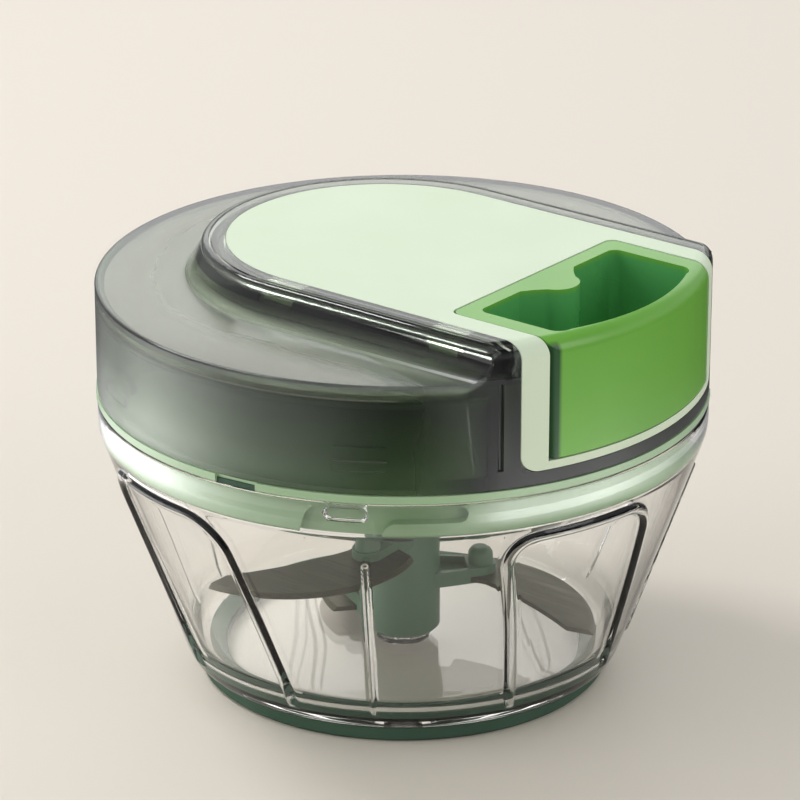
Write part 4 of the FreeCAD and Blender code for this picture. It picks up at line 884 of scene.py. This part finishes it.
# %% Clear bowl
def clear_bowl():
    """The bowl as a turned profile: beads and ribs push its outer wall out, and three lugs push its rim inwards."""
    low = (wall_radius(11.0) - WALL, 11.0)
    under = rounded_profile([
        (PIN_R, PIN_FOOT_Z, 0), (PIN_R, UNDERSIDE_Z, 0.2), (RING_INNER_R, UNDERSIDE_Z, 0.3),
        (RING_INNER_R, RING_Z, 0.05), (RING_OUTER_R, RING_Z, 0.3), (44.6, 4.0, 1.2), (*WALL_LOW, 0.8),
        (wall_radius(WALL_START_Z), WALL_START_Z, 0)])
    wall_z = np.concatenate([np.linspace(WALL_START_Z, FINE_ROWS_Z, 38)[1:],
                             np.linspace(FINE_ROWS_Z, WALL_END_Z, 37)[1:]])
    wall = np.column_stack([wall_radius(wall_z), wall_z])
    rim = rounded_profile([
        (*wall[-1], 0), (RIM_R, 54.4, 1.5), (RIM_R, RIM_Z, 0.45), (RIM_INNER_R, RIM_Z, 0.45), (RIM_INNER_R, 59.2, 0)])
    lug_rows = np.linspace((RIM_INNER_R, LUG_Z + LUG_ROWS), (RIM_INNER_R, LUG_Z - LUG_ROWS), 32)
    top = WALL_TOP_INSIDE
    down = np.array(low) - top
    turn_in = rounded_profile([
        (RIM_INNER_R, 54.8, 0), (RIM_INNER_R, 53.0, 0.3), (*top, 0.3), (*(top + down * 0.05), 0)])
    inside = np.linspace(top + down * 0.15, top + down * 0.93, 8)
    floor_part = rounded_profile([
        (*inside[-1], 0), (*low, 3.0), (41.7, 6.4, 3.2), (37.0, FLOOR_Z, 4.0), (BOSS_R, FLOOR_Z, 0.3),
        (BOSS_R, BOSS_Z, 0.2), (PIN_R, BOSS_Z, 0.1), (PIN_R, PIN_FOOT_Z, 0)])
    profile = np.vstack([under, wall, rim[1:], lug_rows, turn_in, inside, floor_part[1:-1]])
    psi = column_angles()
    r, z = profile[:, 0][:, None], profile[:, 1][:, None]
    outside = np.zeros(len(profile), bool)
    outside[len(under) - 1:len(under) + len(wall)] = True
    lean = LEAN * np.clip(1 - (z - PANEL_FOOT_Z) / (PANEL_TOP_Z - PANEL_FOOT_Z), 0, 1)
    degrees = psi[None, :] + lean
    bead = bead_height(frame_distance(degrees, z), BEAD_R, BEAD_SINK)
    bead = bead * np.clip((z - 6.3) / 2.0, 0, 1)
    off = ((degrees - RIB_ANGLE + 45) % 90 - 45) * np.radians(1) * wall_radius(z)
    past = np.maximum(np.maximum(z - (RIB_HIGH - RIB_R), RIB_LOW + RIB_R - z), 0)
    rib = bead_height(np.hypot(off, past), RIB_R, 0.1)
    push = np.maximum(bead, rib) * outside[:, None]
    run = np.array([WALL_HIGH[1] - WALL_LOW[1], WALL_LOW[0] - WALL_HIGH[0]])
    normal = run / np.linalg.norm(run)
    a = np.radians(degrees)
    at_lug = (np.abs(r - RIM_INNER_R) < 0.01) & (np.abs(z - LUG_Z) < 2.0)
    radius = r + push * normal[0] - lug_height(degrees, z) * at_lug
    points = np.stack([radius * np.cos(a), radius * np.sin(a), z + push * normal[1]], axis=-1)
    return np.vstack([points, points[:1]])


bowl = grid_object("clear_bowl", clear_bowl(), "clear_plastic", "bowl")
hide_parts("bowl")

# %% [markdown]
# ## The pull cord
# The cord is braided nylon. Its stretch from the drum to the knot in the handle has to lengthen when the handle is
# pulled; here it is one piece fixed where it lies, and the turns on the drum ride with the drum.


# %% Cord finish and braided tube
def cord_finish():
    """Nylon: pale, with a soft sheen and fine slanting waves in its colour."""
    material, tree, shader = new_material("braided_nylon")
    weave = add_node(tree, "ShaderNodeTexWave", {"bands_direction": "DIAGONAL"}, Vector=object_place(tree),
                     Scale=900.0, Distortion=1.0).outputs["Fac"]
    tree.links.new(blended(tree, weave, rgb(226, 226, 216), rgb(200, 200, 188)), shader.inputs["Base Color"])
    shader.inputs["Roughness"].default_value = 0.7
    shader.inputs["Sheen Weight"].default_value = 0.3
    return material


FINISH["cord_nylon"] = cord_finish()


STRAND_LAY, STRAND_RIPPLE = 2.2, 0.06


def braided_tube(path, radius, sides=16):
    """A tube along a path: radius plus a ripple of the larger of two opposite helices, 4 strands each way."""
    along = np.gradient(path, axis=0)
    along /= np.linalg.norm(along, axis=1)[:, None]
    up = np.array([0.0, 0.0, 1.0])
    side = np.cross(along, up)
    side /= np.linalg.norm(side, axis=1)[:, None]
    other = np.cross(side, along)
    run = np.concatenate([[0], np.cumsum(np.linalg.norm(np.diff(path, axis=0), axis=1))])[:, None]
    a = np.linspace(0, 2 * np.pi, sides, endpoint=False)[None, :]
    strands = np.maximum(np.cos(4 * a + run * STRAND_LAY), np.cos(4 * a - run * STRAND_LAY))
    r = radius * (1 - STRAND_RIPPLE + STRAND_RIPPLE * strands)
    ring = side[:, None] * (r * np.cos(a))[..., None] + other[:, None] * (r * np.sin(a))[..., None]
    body = path[:, None] + ring
    caps = [np.repeat(path[k][None, None], sides, axis=1) for k in (0, -1)]
    return np.vstack([caps[0], body, caps[1]])


# %% Cord pieces
CORD_R, CORD_Z, WIND_R, WIND_PITCH, WIND_TURNS = 0.8, 78.2, 14.85, 2.1, 4.25
EYELET_X, CORD_BEND_R, LEAD_END_X = 27.6, 5.0, 37.6
INLET_RUN = 7.5

exit_angle = -math.acos(WIND_R / EYELET_X)
back = np.linspace(WIND_TURNS, 0, 420)
angle = exit_angle - 2 * np.pi * back
helix = np.column_stack([WIND_R * np.cos(angle), WIND_R * np.sin(angle), CORD_Z - WIND_PITCH * back])
tangent = np.array([-math.sin(angle[0]), math.cos(angle[0]), 0])
straight = helix[0] - tangent * np.linspace(INLET_RUN, 0.6, 6)[:, None]
wound_tube = braided_tube(np.vstack([straight, helix]), CORD_R, sides=12)
wound = grid_object("wound_cord", wound_tube, "cord_nylon", "drum")
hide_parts("cord_winding")

# The lead leaves the drum at a tangent, bends in the eyelet, and runs straight on to the handle.
leave = helix[-1]
corner = np.array([EYELET_X, 0, CORD_Z])
heading = (corner - leave) / np.linalg.norm(corner - leave)
turn_angle = math.atan2(abs(heading[1]), heading[0])
cut_back = CORD_BEND_R * math.tan(turn_angle / 2)
into, out_of = corner - heading * cut_back, corner + np.array([cut_back, 0, 0])
t = np.linspace(0, 1, 24)[:, None]
bend = into * (1 - t) ** 2 + 2 * corner * t * (1 - t) + out_of * t ** 2
first = leave + (into - leave) * np.linspace(0, 1, 60, endpoint=False)[:, None]
last = out_of + (np.array([LEAD_END_X, 0, CORD_Z]) - out_of) * np.linspace(0, 1, 120)[1:, None]
lead_tube = braided_tube(np.vstack([first, bend, last]), CORD_R)
lead = grid_object("pull_cord", lead_tube, "cord_nylon", "drive_unit")
lead.parent = None
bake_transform(lead)
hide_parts("cord_lead")
for node in ("drum_knot", "handle_knot"):
    smooth_copy(node, "cord_nylon")
print("cord pieces")
